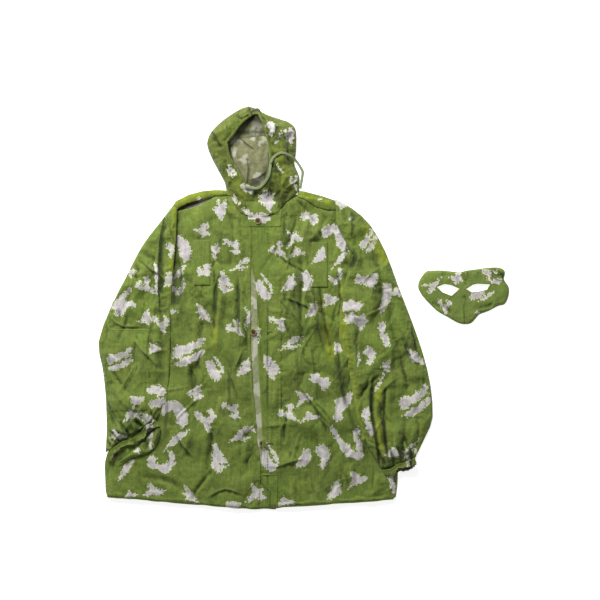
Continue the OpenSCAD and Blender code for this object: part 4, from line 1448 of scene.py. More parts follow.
MASK_OUTLINE = spline(
    mm([
        (490, 66), (494, 86), (513, 112), (529, 115), (562, 116), (613, 111), (637, 116), (670, 120),
        (697, 124), (731, 125), (749, 117), (751, 103), (748, 89), (763, 66), (762, 39), (751, 15),
        (731, 9), (700, -7), (675, -16), (664, -28), (649, -43), (630, -46), (610, -42), (580, -25),
        (546, -5), (509, 32), (495, 52),
    ]),
    closed=True, steps=3,
)
EYES = [
    mm([(546, 66), (569, 75), (589, 72), (614, 61), (590, 40), (564, 50)]),
    mm([(634, 60), (654, 73), (668, 76), (706, 74), (696, 58), (673, 53), (651, 50)]),
]
NOSE = mm([(621, 111), (622, 70), (624, 30), (628, -10), (629, -44)])
FOLDS_MASK = [
    ("ridge", 3, 7, [(620, 108), (622, 70), (624, 36)]),
    ("pleat", 5, 9, [(634, 34), (627, 8), (629, -30)]),
    ("pleat", 9, 8, [(700, 122), (724, 104), (752, 112)]),
    ("pleat", 6, 6, [(636, 118), (640, 104), (634, 88)]),
    ("pleat", 6, 8, [(700, 108), (730, 88), (757, 84)]),
    ("ridge", 4, 7, [(520, 98), (560, 88), (600, 96)]),
    ("ridge", 4, 8, [(530, 30), (570, 22), (604, -10)]),
    ("valley", 4, 7, [(540, 10), (580, 0), (606, -26)]),
    ("ridge", 4, 8, [(660, 20), (700, 24), (740, 36)]),
    ("valley", 4, 7, [(650, 4), (690, 6), (730, 22)]),
    ("ridge", 3, 6, [(505, 88), (508, 60), (520, 40)]),
]


def mask_height(xy):
    out = np.maximum(signed_to_loop(xy, MASK_OUTLINE), 0)
    small = crumple(xy, 0.034, 91.0)
    return 0.0016 + (1 - np.exp(-out / 0.009)) * (0.0045 + 0.0050 * small)


mask = Sheet(MASK_OUTLINE, holes=EYES, lines=[NOSE], spacing=0.0045)
mask.lift(mask_height)


# ---------------------------------------------------------------- seams, painted highlights on lit and partly yellowed places, and painted shadows

# Painted highlight along lit fold bands, on cloth that is also partly yellowed: (width, path)
HIGHLIGHT_AND_FADING = {
    "front_right": [(10, [(-120, -10), (-124, -120)])],
    "front_left": [(14, [(196, 30), (212, -60), (226, -140)]), (10, [(262, 60), (268, -10)])],
    "shoulder_right": [(24, [(-240, 318), (-160, 344), (-90, 348)])],
    "shoulder_left": [(10, [(140, 344), (240, 312)])],
    "sleeve_right": [(9, [(-240, 296), (-246, 180), (-254, 60)])],
    "sleeve_left": [
        (12, [(262, -10), (271, -110), (286, -190), (300, -280), (322, -390)]),
        (17, [(368, -245), (366, -300), (378, -430)]),
        (14, [(330, 240), (390, 150)]),
    ],
    "hood": [(16, [(60, 470), (90, 420), (80, 360)]), (12, [(-60, 400), (-40, 340)])],
}
SLEEVE_SEAMS = {
    "right": [mm([(-273, 274), (-287, 190), (-287, 41), (-283, -60)])],
    "left": [mm([(275, -175), (297, -281), (308, -348), (342, -440)])],
}
HOOD_SEAMS = [mm([(-18, 283), (40, 283), (64, 292)]), mm([(84, 350), (72, 318), (66, 300)])]
FOLDS_LINING = [
    ("pleat", 5, 10, [(-42, 512), (-24, 496), (-2, 480)]),
    ("ridge", 6, 5, [(-21, 452), (-22, 414), (-25, 378)]),
    ("pleat", 5, 10, [(-14, 388), (10, 396), (34, 414)]),
    ("valley", 5, 8, [(0, 440), (2, 415), (4, 390)]),
    ("ridge", 3, 8, [(20, 500), (14, 460), (22, 410)]),
    ("pleat", 4, 7, [(-64, 500), (-52, 460), (-40, 420)]),
    ("ridge", 4, 6, [(8, 540), (2, 510), (10, 480)]),
]
LINING_PRINT = [
    ("gull", -58, 504, 0, 0.9), ("zed", 26, 500, 60, 0.7), ("star", -34, 448, 0, 0.75),
    ("wing", 0, 545, 60, 0.5), ("tooth", 14, 388, 30, 0.8), ("fork", -64, 470, 0, 0.7),
    ("speck", -6, 512, 0, 1.2), ("slab", 10, 552, 0, 0.7),
]
# Places in deep shadow: (width, strength, path)
CUFF_DARK = {
    "right": (4, 0.75, [(-296, -330), (-322, -352), (-356, -366)]),
    "left": (5, 0.95, [(464, -424), (468, -446), (474, -470)]),
}
DARK = {
    "front_right": [
        (12, 0.8, [(-244, 290), (-240, 150), (-244, 20)]),
        (6, 0.7, [(-232, 306), (-196, 312), (-150, 326)]),
    ],
    "front_left": [(7, 0.5, [(240, -150), (262, -250), (290, -340), (330, -430)])],
    "sleeve_right": [
        (3, 0.8, [(-274, 272), (-288, 190), (-288, 60), (-284, 10)]),
        (4, 0.5, [(-400, -420), (-350, -386), (-310, -350)]),
        CUFF_DARK["right"],
    ],
    "sleeve_left": [
        (10, 0.85, [(290, 164), (296, 146), (286, 132)]),
        (3.6, 0.9, [(352, -215), (345, -262), (350, -320), (362, -400), (372, -462)]),
        (3.2, 0.8, [(390, -243), (387, -330), (393, -420), (398, -452)]),
        (5, 0.6, [(404, -450), (440, -440), (462, -430)]),
        CUFF_DARK["left"],
    ],
    "hood": [
        (4, 0.9, [(-14, 606), (-11, 588), (-6, 572)]),
        (3, 0.6, [(14, 592), (18, 578), (30, 566)]),
        (3, 0.7, [(-138, 540), (-116, 518), (-104, 490)]),
        (3, 0.6, [(52, 476), (58, 438), (76, 400)]),
        (3, 0.7, [(54, 424), (45, 375), (38, 340)]),
    ],
    "lining": [
        (32, 0.93, [(-60, 572), (-10, 576), (44, 572)]),
        (9, 0.7, [(-70, 530), (-10, 531), (44, 533)]),
        (3, 0.75, [(-24, 450), (-20, 420), (-24, 376)]),
        (14, 0.8, [(-10, 374), (12, 384), (34, 402), (42, 420)]),
        (5, 0.7, [(-80, 500), (-68, 440), (-34, 390)]),
        (4, 0.6, [(43, 470), (40, 410), (24, 376)]),
    ],
}
LINING_SEAMS = [
    mm([(-82, 508), (-20, 517), (38, 522)]), mm([(-42, 510), (-24, 494), (-3, 480)]),
    mm([(-14, 386), (10, 394), (36, 412)]),
]


# ---------------------------------------------------------------- growth, finer points, and coming to rest

simulate([
    (front["right"], 0.014, 0.5, 0.010),
    (front["left"], 0.026, 0.5, 0.012),
    (sleeve["right"], 0.030, 0.5, 0.011),
    (sleeve["left"], 0.030, 0.5, 0.011),
    (hood, 0.045, 0.4, 0.010),
    (mask, 0.025, 0.3, 0.006),
])
# Folds are pressed down above these heights: the sleeves' and the hood's to their laid height, and the
# mask's low enough for the left sleeve to pass over it
SLEEVE_CREST = 0.044
HOOD_CREST = 0.042
MASK_CREST = 0.0085
CUFFS = {"right": ((-436, -452), (-284, -352)), "left": ((386, -502), (488, -472))}
FOLDS_BODY = {
    "right": FOLDS_RIGHT + stray_folds(front["right"].outline, 60, 41),
    "left": FOLDS_LEFT + stray_folds(front["left"].outline, 64, 42),
}
FOLDS_SLEEVE["right"] += stray_folds(sleeve["right"].outline, 26, 43, -0.35)
FOLDS_SLEEVE["left"] += stray_folds(sleeve["left"].outline, 30, 44, 0.3)
for k, side in enumerate(HALVES):
    FOLDS_SLEEVE[side] += gathers(*CUFFS[side], 14 if side == "right" else 11, 84, 8, 45 + k)
FOLDS_HOOD += stray_folds(HOOD_FULL, 22, 47, 0.2, 0.8, (2.5, 5), (30, 80))
FOLDS_MASK += stray_folds(MASK_OUTLINE, 10, 48, 1.2, 0.6, (1.5, 3), (30, 70))
THROAT_AREA = np.vstack([THROAT, mm([(-80, 348), (130, 350)])])
for k, side in enumerate(HALVES):
    f = add_folds(front[side].refine(), FOLDS_BODY[side], 1.25, 3.0 + k, SIDE_LOOP)
    f.rest_on(front_ground)
    pressed = smoothstep(-0.010, 0.002, signed_to_loop(f.flat, THROAT_AREA))
    f.pos[:, 2] += pressed * (FRONT_Z + 0.0005 - f.pos[:, 2])
    press_flat(f, cad_loops(f"slit_flap_{side}")[0])
    f = add_folds(sleeve[side].refine(), FOLDS_SLEEVE[side], 1.25, 9.0 + k, sleeve[side].outline)
    f.rest_on(lambda xy: sleeve_ground(xy) + 0.003)
    f.press_above(SLEEVE_CREST, 0.65)
add_folds(hood.refine(), FOLDS_HOOD, 1.5, 15.0, HOOD_FULL)
hood.rest_on(lambda xy: np.where(xy[:, 1] < 0.35, FRONT_Z + 0.002, 0.004))
hood.press_above(HOOD_CREST, 0.65)
add_folds(mask.refine(), FOLDS_MASK, 1.15, 19.0, MASK_OUTLINE).rest_on(lambda xy: np.full(len(xy), 0.0012))
mask.press_above(MASK_CREST, 0.72)


def laid_on(surface, sheet, gap, extra, default=0.010):
    """Lays a sheet on what is under it, this far above, with its own shape added."""
    under = surface.height(sheet.flat, default)
    sheet.pos = np.column_stack([sheet.flat, under + gap + extra(sheet.flat)])
    return sheet


def near_button(xy, name, reach=0.012):
    lo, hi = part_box(name)
    centre = np.array([(lo.x + hi.x) / 2, (lo.y + hi.y) / 2])
    return 1 - smoothstep(0.009, 0.009 + reach, np.linalg.norm(xy - centre, axis=1))


# ---- the strip that holds the buttons
UNDERLAP = mm([(-19, -597), (68, -596), (68, 338), (-19, 338)])


def underlap_height(xy):
    raised = np.maximum(near_button(xy, "middle_button"), near_button(xy, "lower_button"))
    base = FRONT_Z - 0.0012 + 0.0012 * crumple(xy, 0.04, 12.0)
    return base + raised * (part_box("middle_button")[0].z - 0.0002 - base)


underlap = Sheet(UNDERLAP).lift(underlap_height).refine()
REVERSE_PRINT = tiled(-30, -600, 80, 340, list(MOTIFS), 70, 8)
cloth_piece(
    "underlap_cloth", underlap, REVERSE_PRINT, "coverall", "button_underlap",
    materials=[REVERSE_STRIP, REVERSE], slot="cotton_reverse",
)

# ---- fronts
UNDERLAP_TOP = Surface(underlap)
for side in HALVES:
    f = front[side]
    near = (f.pos[:, 0] > -0.022) & (f.pos[:, 0] < 0.072)
    top = UNDERLAP_TOP.height(f.pos[near][:, :2], 0.0) + 0.0008
    f.pos[near, 2] = np.maximum(f.pos[near, 2], top)
    obj = to_object(
        f"front_{side}_cloth", f, [COTTON, REVERSE], PRINT["body_right" if side == "right" else "body_left"],
        seams=[YOKE[side]], sun=HIGHLIGHT_AND_FADING[f"front_{side}"], folds=FOLDS_BODY[side], dark=DARK[f"front_{side}"],
    )
    finish_piece(obj, "coverall", "printed_cotton", f"front_panel_{side}")


def stepless(surface, xy):
    """The surface's height, with a slope up to the edge of the left front where it has a step."""
    base = surface.height(xy, 0.010)
    for reach in np.linspace(0.002, 0.022, 8):
        ahead = np.column_stack([np.minimum(xy[:, 0] + reach, 0.070), xy[:, 1]])
        base = np.maximum(base, surface.height(ahead, 0.010) - 0.22 * np.maximum(ahead[:, 0] - xy[:, 0], 0))
    return base


GUSSET = mm([(-14, -497), (68, -497), (68, -594), (-46, -597), (-26, -556), (-12, -520)])
under_gusset = Surface(underlap, front["right"], front["left"])
gusset = Sheet(GUSSET, spacing=0.005)
gusset.lift(lambda xy: stepless(under_gusset, xy) + 0.0010 + 0.001 * crumple(xy, 0.03, 14.0)).refine()
GUSSET_LINES = [[(-45, -594), (-24, -552), (6, -513), (26, -530), (46, -550)], [(46, -550), (44, -592)]]
cloth_piece(
    "gusset_cloth", gusset, PRINT["body_right"], "coverall", "crotch_gusset",
    seams=[mm(line) for line in GUSSET_LINES], dark=[(1.6, 0.55, line) for line in GUSSET_LINES],
    worn=False,
)
BODY = Surface(underlap, front["right"], front["left"], gusset)


# ---------------------------------------------------------------- chest slits and their flaps

for side in HALVES:
    outer = cad_loops(f"slit_flap_{side}")[0]
    lo, hi = outer.min(0), outer.max(0)
    x0, y0, x1, y1 = lo[0], lo[1], hi[0], hi[1]
    frame_out = np.array([(x0 + 0.001, y0 + 0.001), (x1 - 0.001, y0 + 0.001), (x1 - 0.001, y1 - 0.001),
                          (x0 + 0.001, y1 - 0.001)])
    centre = frame_out.mean(0)
    slit = np.array([(-0.004, -0.0525), (0.004, -0.0525), (0.004, 0.0525), (-0.004, 0.0525)]) + centre
    welt = laid_on(BODY, Sheet(frame_out, holes=[slit], spacing=0.0045), 0.0006, lambda xy: 0.0)
    cloth_piece(f"slit_welt_{side}_cloth", welt, PRINT[f"body_{side}"], "coverall", f"slit_welt_{side}")
    flap = Sheet(outer, spacing=0.0045)
    under = Surface(welt, front[side])
    banks = [under.height(np.column_stack([np.full(len(flap.flat), centre[0] + off), flap.flat[:, 1]]), 0.010)
             for off in (-0.010, 0.010)]
    share = np.clip((flap.flat[:, 0] - centre[0]) / 0.020 + 0.5, 0, 1)
    bridge = banks[0] * (1 - share) + banks[1] * share
    open_air = (np.abs(flap.flat[:, 0] - centre[0]) < 0.010) & (np.abs(flap.flat[:, 1] - centre[1]) < 0.056)
    flap.pos[:, 2] = np.where(open_air, bridge, under.height(flap.flat, 0.010))
    flap.pos[:, 2] += 0.0011 + 0.0012 * crumple(flap.flat, 0.03, 18.0)
    flap.pos[:, 2] += 0.0012 * smoothstep(y0 + 0.030, y0 + 0.010, flap.flat[:, 1])
    flap.refine()
    cloth_piece(
        f"slit_flap_{side}_cloth", flap, PRINT[f"body_{side}"], f"slit_flap_{side}", f"slit_flap_{side}",
        worn=False,
    )
    inner = np.array([(x0 + 0.004, y1 - 0.004), (x0 + 0.004, y0 + 0.004), (x1 - 0.004, y0 + 0.004),
                      (x1 - 0.004, y1 - 0.004)])
    row = stitches(f"slit_flap_{side}_stitches", Surface(flap), [inner], THREAD)
    finish_piece(row, f"slit_flap_{side}", "printed_cotton")


# ---------------------------------------------------------------- neck overlap, fly and buttons

HOOD_TOP = Surface(hood)
OVERLAP = mm([
    (-34, 352), (-24, 300), (-20, 262), (-19, 247), (30, 246), (77, 247), (80, 300), (84, 334),
    (60, 350), (10, 354),
])


def overlap_extra(xy):
    return 0.0012 * crumple(xy, 0.035, 24.0) + 0.0015 * np.exp(-(((xy[:, 0] + 0.02) / 0.012) ** 2))


under_overlap = Surface(hood, underlap, front["right"], front["left"])
overlap = laid_on(under_overlap, Sheet(OVERLAP, spacing=0.005), 0.0010, overlap_extra)
cap = near_button(overlap.flat, "neck_button", 0.02)
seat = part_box("neck_button")[0].z - 0.0003
overlap.pos[:, 2] = overlap.pos[:, 2] * (1 - cap) + cap * seat
overlap.pos[:, 2] = np.minimum(overlap.pos[:, 2], np.where(cap > 0.99, seat, 1.0))
overlap.pos[:, 2] -= 0.0060 * smoothstep(0.312, 0.340, overlap.flat[:, 1])
overlap.refine()
cloth_piece(
    "neck_overlap_cloth", overlap, PRINT["body_left"], "coverall", "neck_overlap",
    seams=[mm([(-14, 284), (76, 284)])], worn=False,
)

FLY_LOOP = cad_loops("fly_overlap")[0]
FLY_LEFT = [(-15, 240), (-15, 141), (6, 60), (11, -120), (20, -300), (24, -420), (18, -492)]


def slot_loop(x, y, length, width):
    turn = np.arange(12) * math.pi / 6
    return mm([(x, y)]) + np.column_stack([np.cos(turn) * length / 2, np.sin(turn) * width / 2]) * MM


BUTTON_PITCH = (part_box("neck_button")[0].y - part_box("middle_button")[0].y) / MM
NECK_Y = (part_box("neck_button")[0].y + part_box("neck_button")[1].y) / 2 / MM
BUTTONHOLES = [slot_loop(45, NECK_Y - k * BUTTON_PITCH, 20, 2.4) for k in (1, 2)]


FOLDS_FLY = FOLDS_LEFT[:20] + stray_folds(FLY_LOOP, 16, 49)


def fly_ground(xy):
    base = stepless(BODY, xy) + 0.0010
    for name in ("middle_button", "lower_button"):
        raised = near_button(xy, name, 0.016)
        base = np.maximum(base, base * (1 - raised) + raised * (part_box(name)[1].z + 0.0006))
    return base


fly = Sheet(FLY_LOOP, holes=BUTTONHOLES, spacing=0.005)
fly_free_x, fly_free_y = mm(FLY_LEFT).T
fly_edge = fly.flat[:, 0] - np.interp(-fly.flat[:, 1], -fly_free_y, fly_free_x)
ripple = 0.0016 * np.exp(-(fly_edge / 0.006) ** 2) * (1 + noise(fly.flat, 0.05, 2))
fly.pos[:, 2] = fly_ground(fly.flat) + 0.0003 + ripple + 0.0016 * crumple(fly.flat, 0.035, 33.0)
fly.refine()
tucked = np.maximum(smoothstep(0.062, 0.077, fly.flat[:, 0]), smoothstep(-0.484, -0.496, fly.flat[:, 1]))
fly_floor = fly_ground(fly.flat) + 0.0002 - 0.0007 * tucked
fly.pos[:, 2] += 0.6 * fold_height(fly.flat, FOLDS_FLY) + 0.0012 * crumple(fly.flat, 0.018, 35.0, (0.7, 1.6))
fly.pos[:, 2] += tucked * (fly_floor - fly.pos[:, 2])
fly.pos[:, 2] = np.maximum(fly.pos[:, 2], fly_floor)
FLY_ROWS = [mm([(x + 5, y) for x, y in FLY_LEFT])]
FLY_BEND = ("coverall", "fly_flap", (0.080, 0, 0.0188), (0.064, 0, 0.0188))
cloth_piece("fly_cloth", fly, PRINT["body_left"], FLY_BEND, "fly_overlap", folds=FOLDS_FLY, worn=False)
finish_piece(stitches("fly_stitches", Surface(fly), FLY_ROWS, THREAD), FLY_BEND, "printed_cotton")


FLY_TOP = Surface(fly)
for k, hole in enumerate(BUTTONHOLES):
    path = resample(hole, 0.0012, closed=True)
    z = FLY_TOP.height(path + (path - path.mean(0)) * 0.35, 0.016)
    z = np.full(len(z), np.median(z)) * 0.5 + z * 0.5
    ring = tube(f"buttonhole_{k + 1}", np.column_stack([path, z]), (0.0011, 0.0007), THREAD, closed=True)
    finish_piece(ring, "fly_flap", "printed_cotton")

SUNK_R = 0.0058  # radius of a button's sunk middle
THREAD_REACH = 0.0022 * 1.4  # from a button's centre to the far side of a thread hole
for name in ("neck_button", "middle_button", "lower_button"):
    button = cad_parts[name]
    button.data.materials.clear()
    button.data.materials.append(HORN)
    bevel = button.modifiers.new("edge", "BEVEL")
    bevel.width = 0.0005
    bevel.segments = 3
    bevel.limit_method = "ANGLE"
    lo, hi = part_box(name)
    cx, cy, cz = (lo.x + hi.x) / 2, (lo.y + hi.y) / 2, lo.z + (hi.z - lo.z) * 0.6 + 0.0002
    ring = np.arange(24) * math.pi / 12
    disc = [(cx + math.cos(t) * SUNK_R, cy + math.sin(t) * SUNK_R, cz - 0.0001) for t in ring]
    centre_piece = plain_object(f"{name}_centre", disc, [range(24)], DARK_HORN, smooth=False)
    finish_piece(centre_piece, name, "button_horn")
    for k, turn in enumerate((45, 135)):
        c = math.cos(math.radians(turn)) * THREAD_REACH
        s = math.sin(math.radians(turn)) * THREAD_REACH
        path = [(cx - c, cy - s, cz - 0.0006), (cx - c * 0.6, cy - s * 0.6, cz + 0.0003 + k * 0.0003),
                (cx + c * 0.6, cy + s * 0.6, cz + 0.0003 + k * 0.0003), (cx + c, cy + s, cz - 0.0006)]
        finish_piece(tube(f"{name}_thread_{k + 1}", path, (0.0004, 0.0004), THREAD), name, "button_horn")


# ---------------------------------------------------------------- shoulders

SHOULDERS = {
    "right": mm([
        (-246, 310), (-238, 324), (-200, 343), (-160, 354), (-118, 358), (-80, 356), (-72, 342),
        (-120, 340), (-150, 331), (-200, 318), (-228, 304), (-238, 292),
    ]),
    "left": mm([
        (130, 355), (150, 353), (200, 340), (246, 324), (244, 298), (219, 297), (183, 306), (150, 330),
        (126, 338),
    ]),
}
for side in HALVES:
    roll = Sheet(SHOULDERS[side], spacing=0.005)
    edge = roll.edge_distance()
    swollen = 0.0040 * (1 - np.exp(-edge / 0.006))
    laid_on(BODY, roll, 0.0010, lambda xy: swollen + 0.005 * crumple(xy, 0.03, 44.0), 0.0065)
    roll.refine()
    cloth_piece(
        f"shoulder_{side}_cloth", roll, PRINT[f"body_{side}"], "coverall", sun=HIGHLIGHT_AND_FADING[f"shoulder_{side}"],
    )


# ---------------------------------------------------------------- sleeves, patches and cuffs

SLEEVE_BEND = {
    "right": ("coverall", "sleeve_right", (-0.245, 0.300, 0.02), (-0.300, 0.100, 0.02)),
    "left": ("coverall", "sleeve_left", (0.262, 0.295, 0.02), (0.315, 0.095, 0.02)),
}
for side in HALVES:
    top, low = sleeve[side], under_sleeve[side]
    seams = SLEEVE_SEAMS[side]
    cloth_piece(
        f"sleeve_{side}_front_cloth", top, PRINT[f"sleeve_{side}"], SLEEVE_BEND[side],
        f"sleeve_{side}_front", seams=seams, sun=HIGHLIGHT_AND_FADING[f"sleeve_{side}"], folds=FOLDS_SLEEVE[side],
        dark=DARK[f"sleeve_{side}"],
    )
    cloth_piece(
        f"sleeve_{side}_back_cloth", low, BACK_PRINT, SLEEVE_BEND[side], f"sleeve_{side}_back", flip=True,
    )

patch = Sheet(cad_loops("elbow_patch_right")[0], spacing=0.006)
laid_on(Surface(sleeve["right"]), patch, 0.0009, lambda xy: 0.0, 0.02).refine()
cloth_piece(
    "elbow_patch_right_cloth", patch, PRINT["sleeve_right"], "sleeve_right", "elbow_patch_right",
    worn=False,
)
PATCH_EDGE = mm([(-440, -64), (-319, -64), (-326, -141), (-332, -228), (-324, -299), (-430, -302)])
PATCH_ROW = resample(PATCH_EDGE, 0.004)
finish_piece(stitches("elbow_patch_right_stitches", Surface(patch), [PATCH_ROW], THREAD), "sleeve_right",
             "printed_cotton")

patch = Sheet(cad_loops("elbow_patch_left")[0], spacing=0.008)
laid_on(Surface(under_sleeve["left"]), patch, -0.0010, lambda xy: 0.0, 0.003).refine()
cloth_piece("elbow_patch_left_cloth", patch, BACK_PRINT, "sleeve_left", "elbow_patch_left", flip=True)


def band(
    name, a, b, width, z, half, body, node, materials, slot,
    count=15, inset=0.0, seed=0, gape=0.0, loose=1.0, dark=(),
):
    """A gathered ring of cloth round a flattened tube whose mouth runs from a to b, with its top inwards."""
    a, b = np.array(a) * MM, np.array(b) * MM
    side = (b - a) / np.linalg.norm(b - a)
    inward = np.array([-side[1], side[0]])
    middle = (a + b) / 2
    reach = np.linalg.norm(b - a) / 2 - inset
    rows, columns = 9, count * 9
    turn = np.arange(columns) * 2 * np.pi / columns
    pick = np.random.default_rng(seed)
    drift = np.cumsum(pick.normal(0, 0.05, columns))
    drift -= np.linspace(0, drift[-1], columns)
    crush = half / CUFF_HALF
    across = np.column_stack([np.cos(turn) * reach, np.zeros(columns)])
    sway = 0.0085 * loose * crush * noise(across, 0.030, seed + 3)
    swell = 0.0040 * loose * crush * noise(across, 0.022, seed + 11)
    pos, flat = [], []
    for i in range(rows):
        v = i / (rows - 1)
        fold = np.sin(count * turn + 22 * drift + 0.6 * np.sin(3 * v + turn)) * (1.0 - 0.35 * v)
        flare = 0.0022 * math.exp(-v * 7)
        rx = reach - 0.001 + flare * fold
        rz = half - inset + (0.0030 * fold * crush + flare * crush) * np.abs(np.sin(turn)) ** 0.5
        x = np.cos(turn) * rx
        h = np.sign(np.sin(turn)) * np.abs(np.sin(turn)) ** 0.75 * rz
        at = inset * 1.2 + v * (width * MM - inset * 2.4) + sway * (1 - 0.4 * v)
        h = h + swell * (1 - 0.5 * v)
        along = at + (0.0022 * np.sin(2 * turn + 22 * drift) + gape * np.sin(turn)) * (1 - v)
        xy = middle + np.outer(x, side) + np.outer(along, inward)
        pos.append(np.column_stack([xy, np.maximum(z + h, 0.0004)]))
        flat.append(np.column_stack([xy[:, 0] + h * 0.3, xy[:, 1] + h]))
    quads = []
    for i in range(rows - 1):
        for j in range(columns):
            k = (j + 1) % columns
            quads.append((i * columns + j, i * columns + k, (i + 1) * columns + k, (i + 1) * columns + j))
    cloth = Sheet.shaped(np.vstack(pos), np.vstack(flat), np.array(quads), flat[0])
    group = PRINT["sleeve_left"] if "left" in name else PRINT["sleeve_right"]
    mouth = [tuple((middle + side * reach * k - inward * 0.003) / MM) for k in (-0.8, 0.0, 0.8)]
    # Painted shadow just inside the mouth of a full-height cuff
    shade = [(7, 0.85 * crush, mouth)] if crush > 0.9 else []
    obj = to_object(name, cloth, materials, group, seams=[cloth.flat[6 * columns : 7 * columns]], flip=True,
                    dark=shade + list(dark))
    return finish_piece(obj, body, slot, node)


ANKLES = {"right": ((-258, 112.6), (-66, 112.6)), "left": ((70, 112.6), (258, 112.6))}
BAND_W = 22
CUFF_HALF = 0.0088  # half the height of a cuff's mouth
ANKLE_HALF = 0.0027  # half the height of a flattened ankle band
ANKLE_Z = 0.0034
LOOSE = {"right": 1.5, "left": 1.2}
for k, side in enumerate(HALVES):
    a, b = CUFFS[side]
    z = sleeve_ground(mm([a, b])).mean() + 0.0095
    band(
        f"cuff_{side}_cloth", a, b, BAND_W, z, CUFF_HALF, f"sleeve_{side}", f"cuff_band_{side}",
        [COTTON, REVERSE], "printed_cotton", seed=k, gape=0.0065, loose=LOOSE[side], dark=[CUFF_DARK[side]],
    )
    band(
        f"cuff_{side}_elastic", a, b, BAND_W, z, CUFF_HALF, f"sleeve_{side}", f"cuff_elastic_{side}",
        [ELASTIC], "elastic", inset=0.0050, seed=k, gape=0.0010, loose=LOOSE[side],
    )
    a, b = ANKLES[side]
    band(
        f"ankle_{side}_cloth", a, b, BAND_W, ANKLE_Z, ANKLE_HALF, f"leg_{side}", f"ankle_band_{side}",
        [COTTON, REVERSE], "printed_cotton", seed=k + 2,
    )
    band(
        f"ankle_{side}_elastic", a, b, BAND_W, ANKLE_Z, ANKLE_HALF, f"leg_{side}", f"ankle_elastic_{side}",
        [ELASTIC], "elastic", inset=0.0014, seed=k + 2,
    )


# The far side of the right cuff's mouth, crumpled out from under the near side
LIP = spline(mm([
    (-412, -462), (-375, -432), (-345, -405), (-312, -372), (-308, -345), (-322, -312), (-304, -324),
    (-286, -353), (-284, -371), (-302, -417), (-341, -437), (-380, -450),
]), closed=True, steps=4)
LIP_FOLDS = [
    ("ridge", 5, 7, [(-300, -335), (-293, -365), (-310, -410)]),
    ("ridge", 4, 6, [(-314, -360), (-326, -392), (-350, -420)]),
    ("ridge", 4, 5, [(-345, -412), (-330, -425), (-318, -432)]),
    ("valley", 4, 5, [(-300, -380), (-318, -402), (-332, -436)]),
]
lip = Sheet(LIP, spacing=0.004)
lip_edge = lip.edge_distance()
lip_swell = 0.0055 * (1 - np.exp(-lip_edge / 0.005))
laid_on(BODY, lip, 0.0030, lambda xy: lip_swell + 0.006 * crumple(xy, 0.022, 55.0), 0.01)
lip.refine()
lip.pos[:, 2] += fold_height(lip.flat, LIP_FOLDS)
lip.rest_on(lambda xy: BODY.height(xy, 0.010) + 0.0012)
# The lip's dark path is a painted shadow along the mouth, where the near side overhangs it
cloth_piece(
    "cuff_right_lip_cloth", lip, PRINT["sleeve_right"], "sleeve_right", folds=LIP_FOLDS,
    dark=[(7, 0.9, [(-430, -452), (-392, -420), (-360, -409), (-332, -390), (-318, -368), (-292, -354)])],
)


# ---------------------------------------------------------------- the folds over which the legs turn

def hem_points(sheet, corner):
    """A sheet's edge points that lie on the line over which a leg is folded."""
    near = to_path(sheet.flat, [CROTCH, corner])[0] < 0.0075
    return sheet.pos[sheet.rim() & near & (sheet.flat[:, 1] < -0.556)]


for side in HALVES:
    corner = FOLD_CORNERS[side]
    away = np.array([corner[1] - CROTCH[1], -(corner[0] - CROTCH[0])])
    away /= np.linalg.norm(away) * (1 if away[1] < 0 else -1)
    rim = hem_points(front[side], corner)
    if side == "left":
        strip = hem_points(underlap, corner)
        seen = (strip[:, 0] > 0) & (strip[:, 0] < front[side].flat[:, 0].min())
        rim = np.vstack([rim, strip[seen]])
    rim = rim[np.argsort(rim[:, 0])]
    line, top = rim[:, :2], rim[:, 2]
    rows = 11
    pos, flat = [], []
    for i in range(rows):
        t = i / (rows - 1)
        out = math.sin(math.pi * t) * (0.0052 + 0.0014 * noise(line, 0.03, 3)) - 0.0012 * (1 - t) ** 6
        pos.append(np.column_stack([line + away * out[:, None], top - 0.0004 - (top - 0.0016) * t]))
        flat.append(line + away * (t * 0.016))
    n = len(line)
    quads = [(i * n + j, i * n + j + 1, (i + 1) * n + j + 1, (i + 1) * n + j)
             for i in range(rows - 1) for j in range(n - 1)]
    flat = np.vstack(flat)
    cloth = Sheet.shaped(np.vstack(pos), flat, np.array(quads), flat[[0, n - 1, -1, -n]])
    mid = (CROTCH + corner) / 2
    bend = ("coverall", f"leg_{side}", (*mid, 0.0110), (*mid, 0.0020))
    cloth_piece(f"leg_{side}_fold_cloth", cloth, PRINT[f"body_{side}"], bend, flip=True, worn=False)


# ---------------------------------------------------------------- hood pieces

HOOD_BEND = ("coverall", "hood", (0.024, 0.335, 0.02), (0.024, 0.370, 0.02))
cloth_piece(
    "hood_cloth", hood, PRINT["hood"], HOOD_BEND, "hood_right_panel", "hood_left_panel",
    materials=[HOOD_COTTON, REVERSE], seams=HOOD_SEAMS, sun=HIGHLIGHT_AND_FADING["hood"], folds=FOLDS_HOOD,
    dark=DARK["hood"],
)
under_hood = Sheet(HOOD_LOOP, spacing=0.008)
edge = under_hood.edge_distance()
under_hood.lift(lambda xy: 0.0012 + 0.0045 * np.exp(-edge / 0.008) + 0.001 * crumple(xy, 0.04, 61.0)).refine()
cloth_piece(
    "hood_back_cloth", under_hood, BACK_PRINT, HOOD_BEND, materials=[HOOD_COTTON, REVERSE], flip=True,
)
lining_loop = FACE_MID + (OPENING - FACE_MID) * 1.16


def lining_height(xy):
    folds = fold_height(xy, FOLDS_LINING)
    return 0.0080 + 0.0055 * crumple(xy, 0.034, 81.0) + folds


lining = Sheet(lining_loop, spacing=0.005).lift(lining_height).refine()
cloth_piece(
    "hood_lining_cloth", lining, LINING_PRINT, HOOD_BEND, "hood_centre_panel", materials=[LINING],
    slot="cotton_reverse", seams=LINING_SEAMS, folds=FOLDS_LINING, dark=DARK["lining"],
)

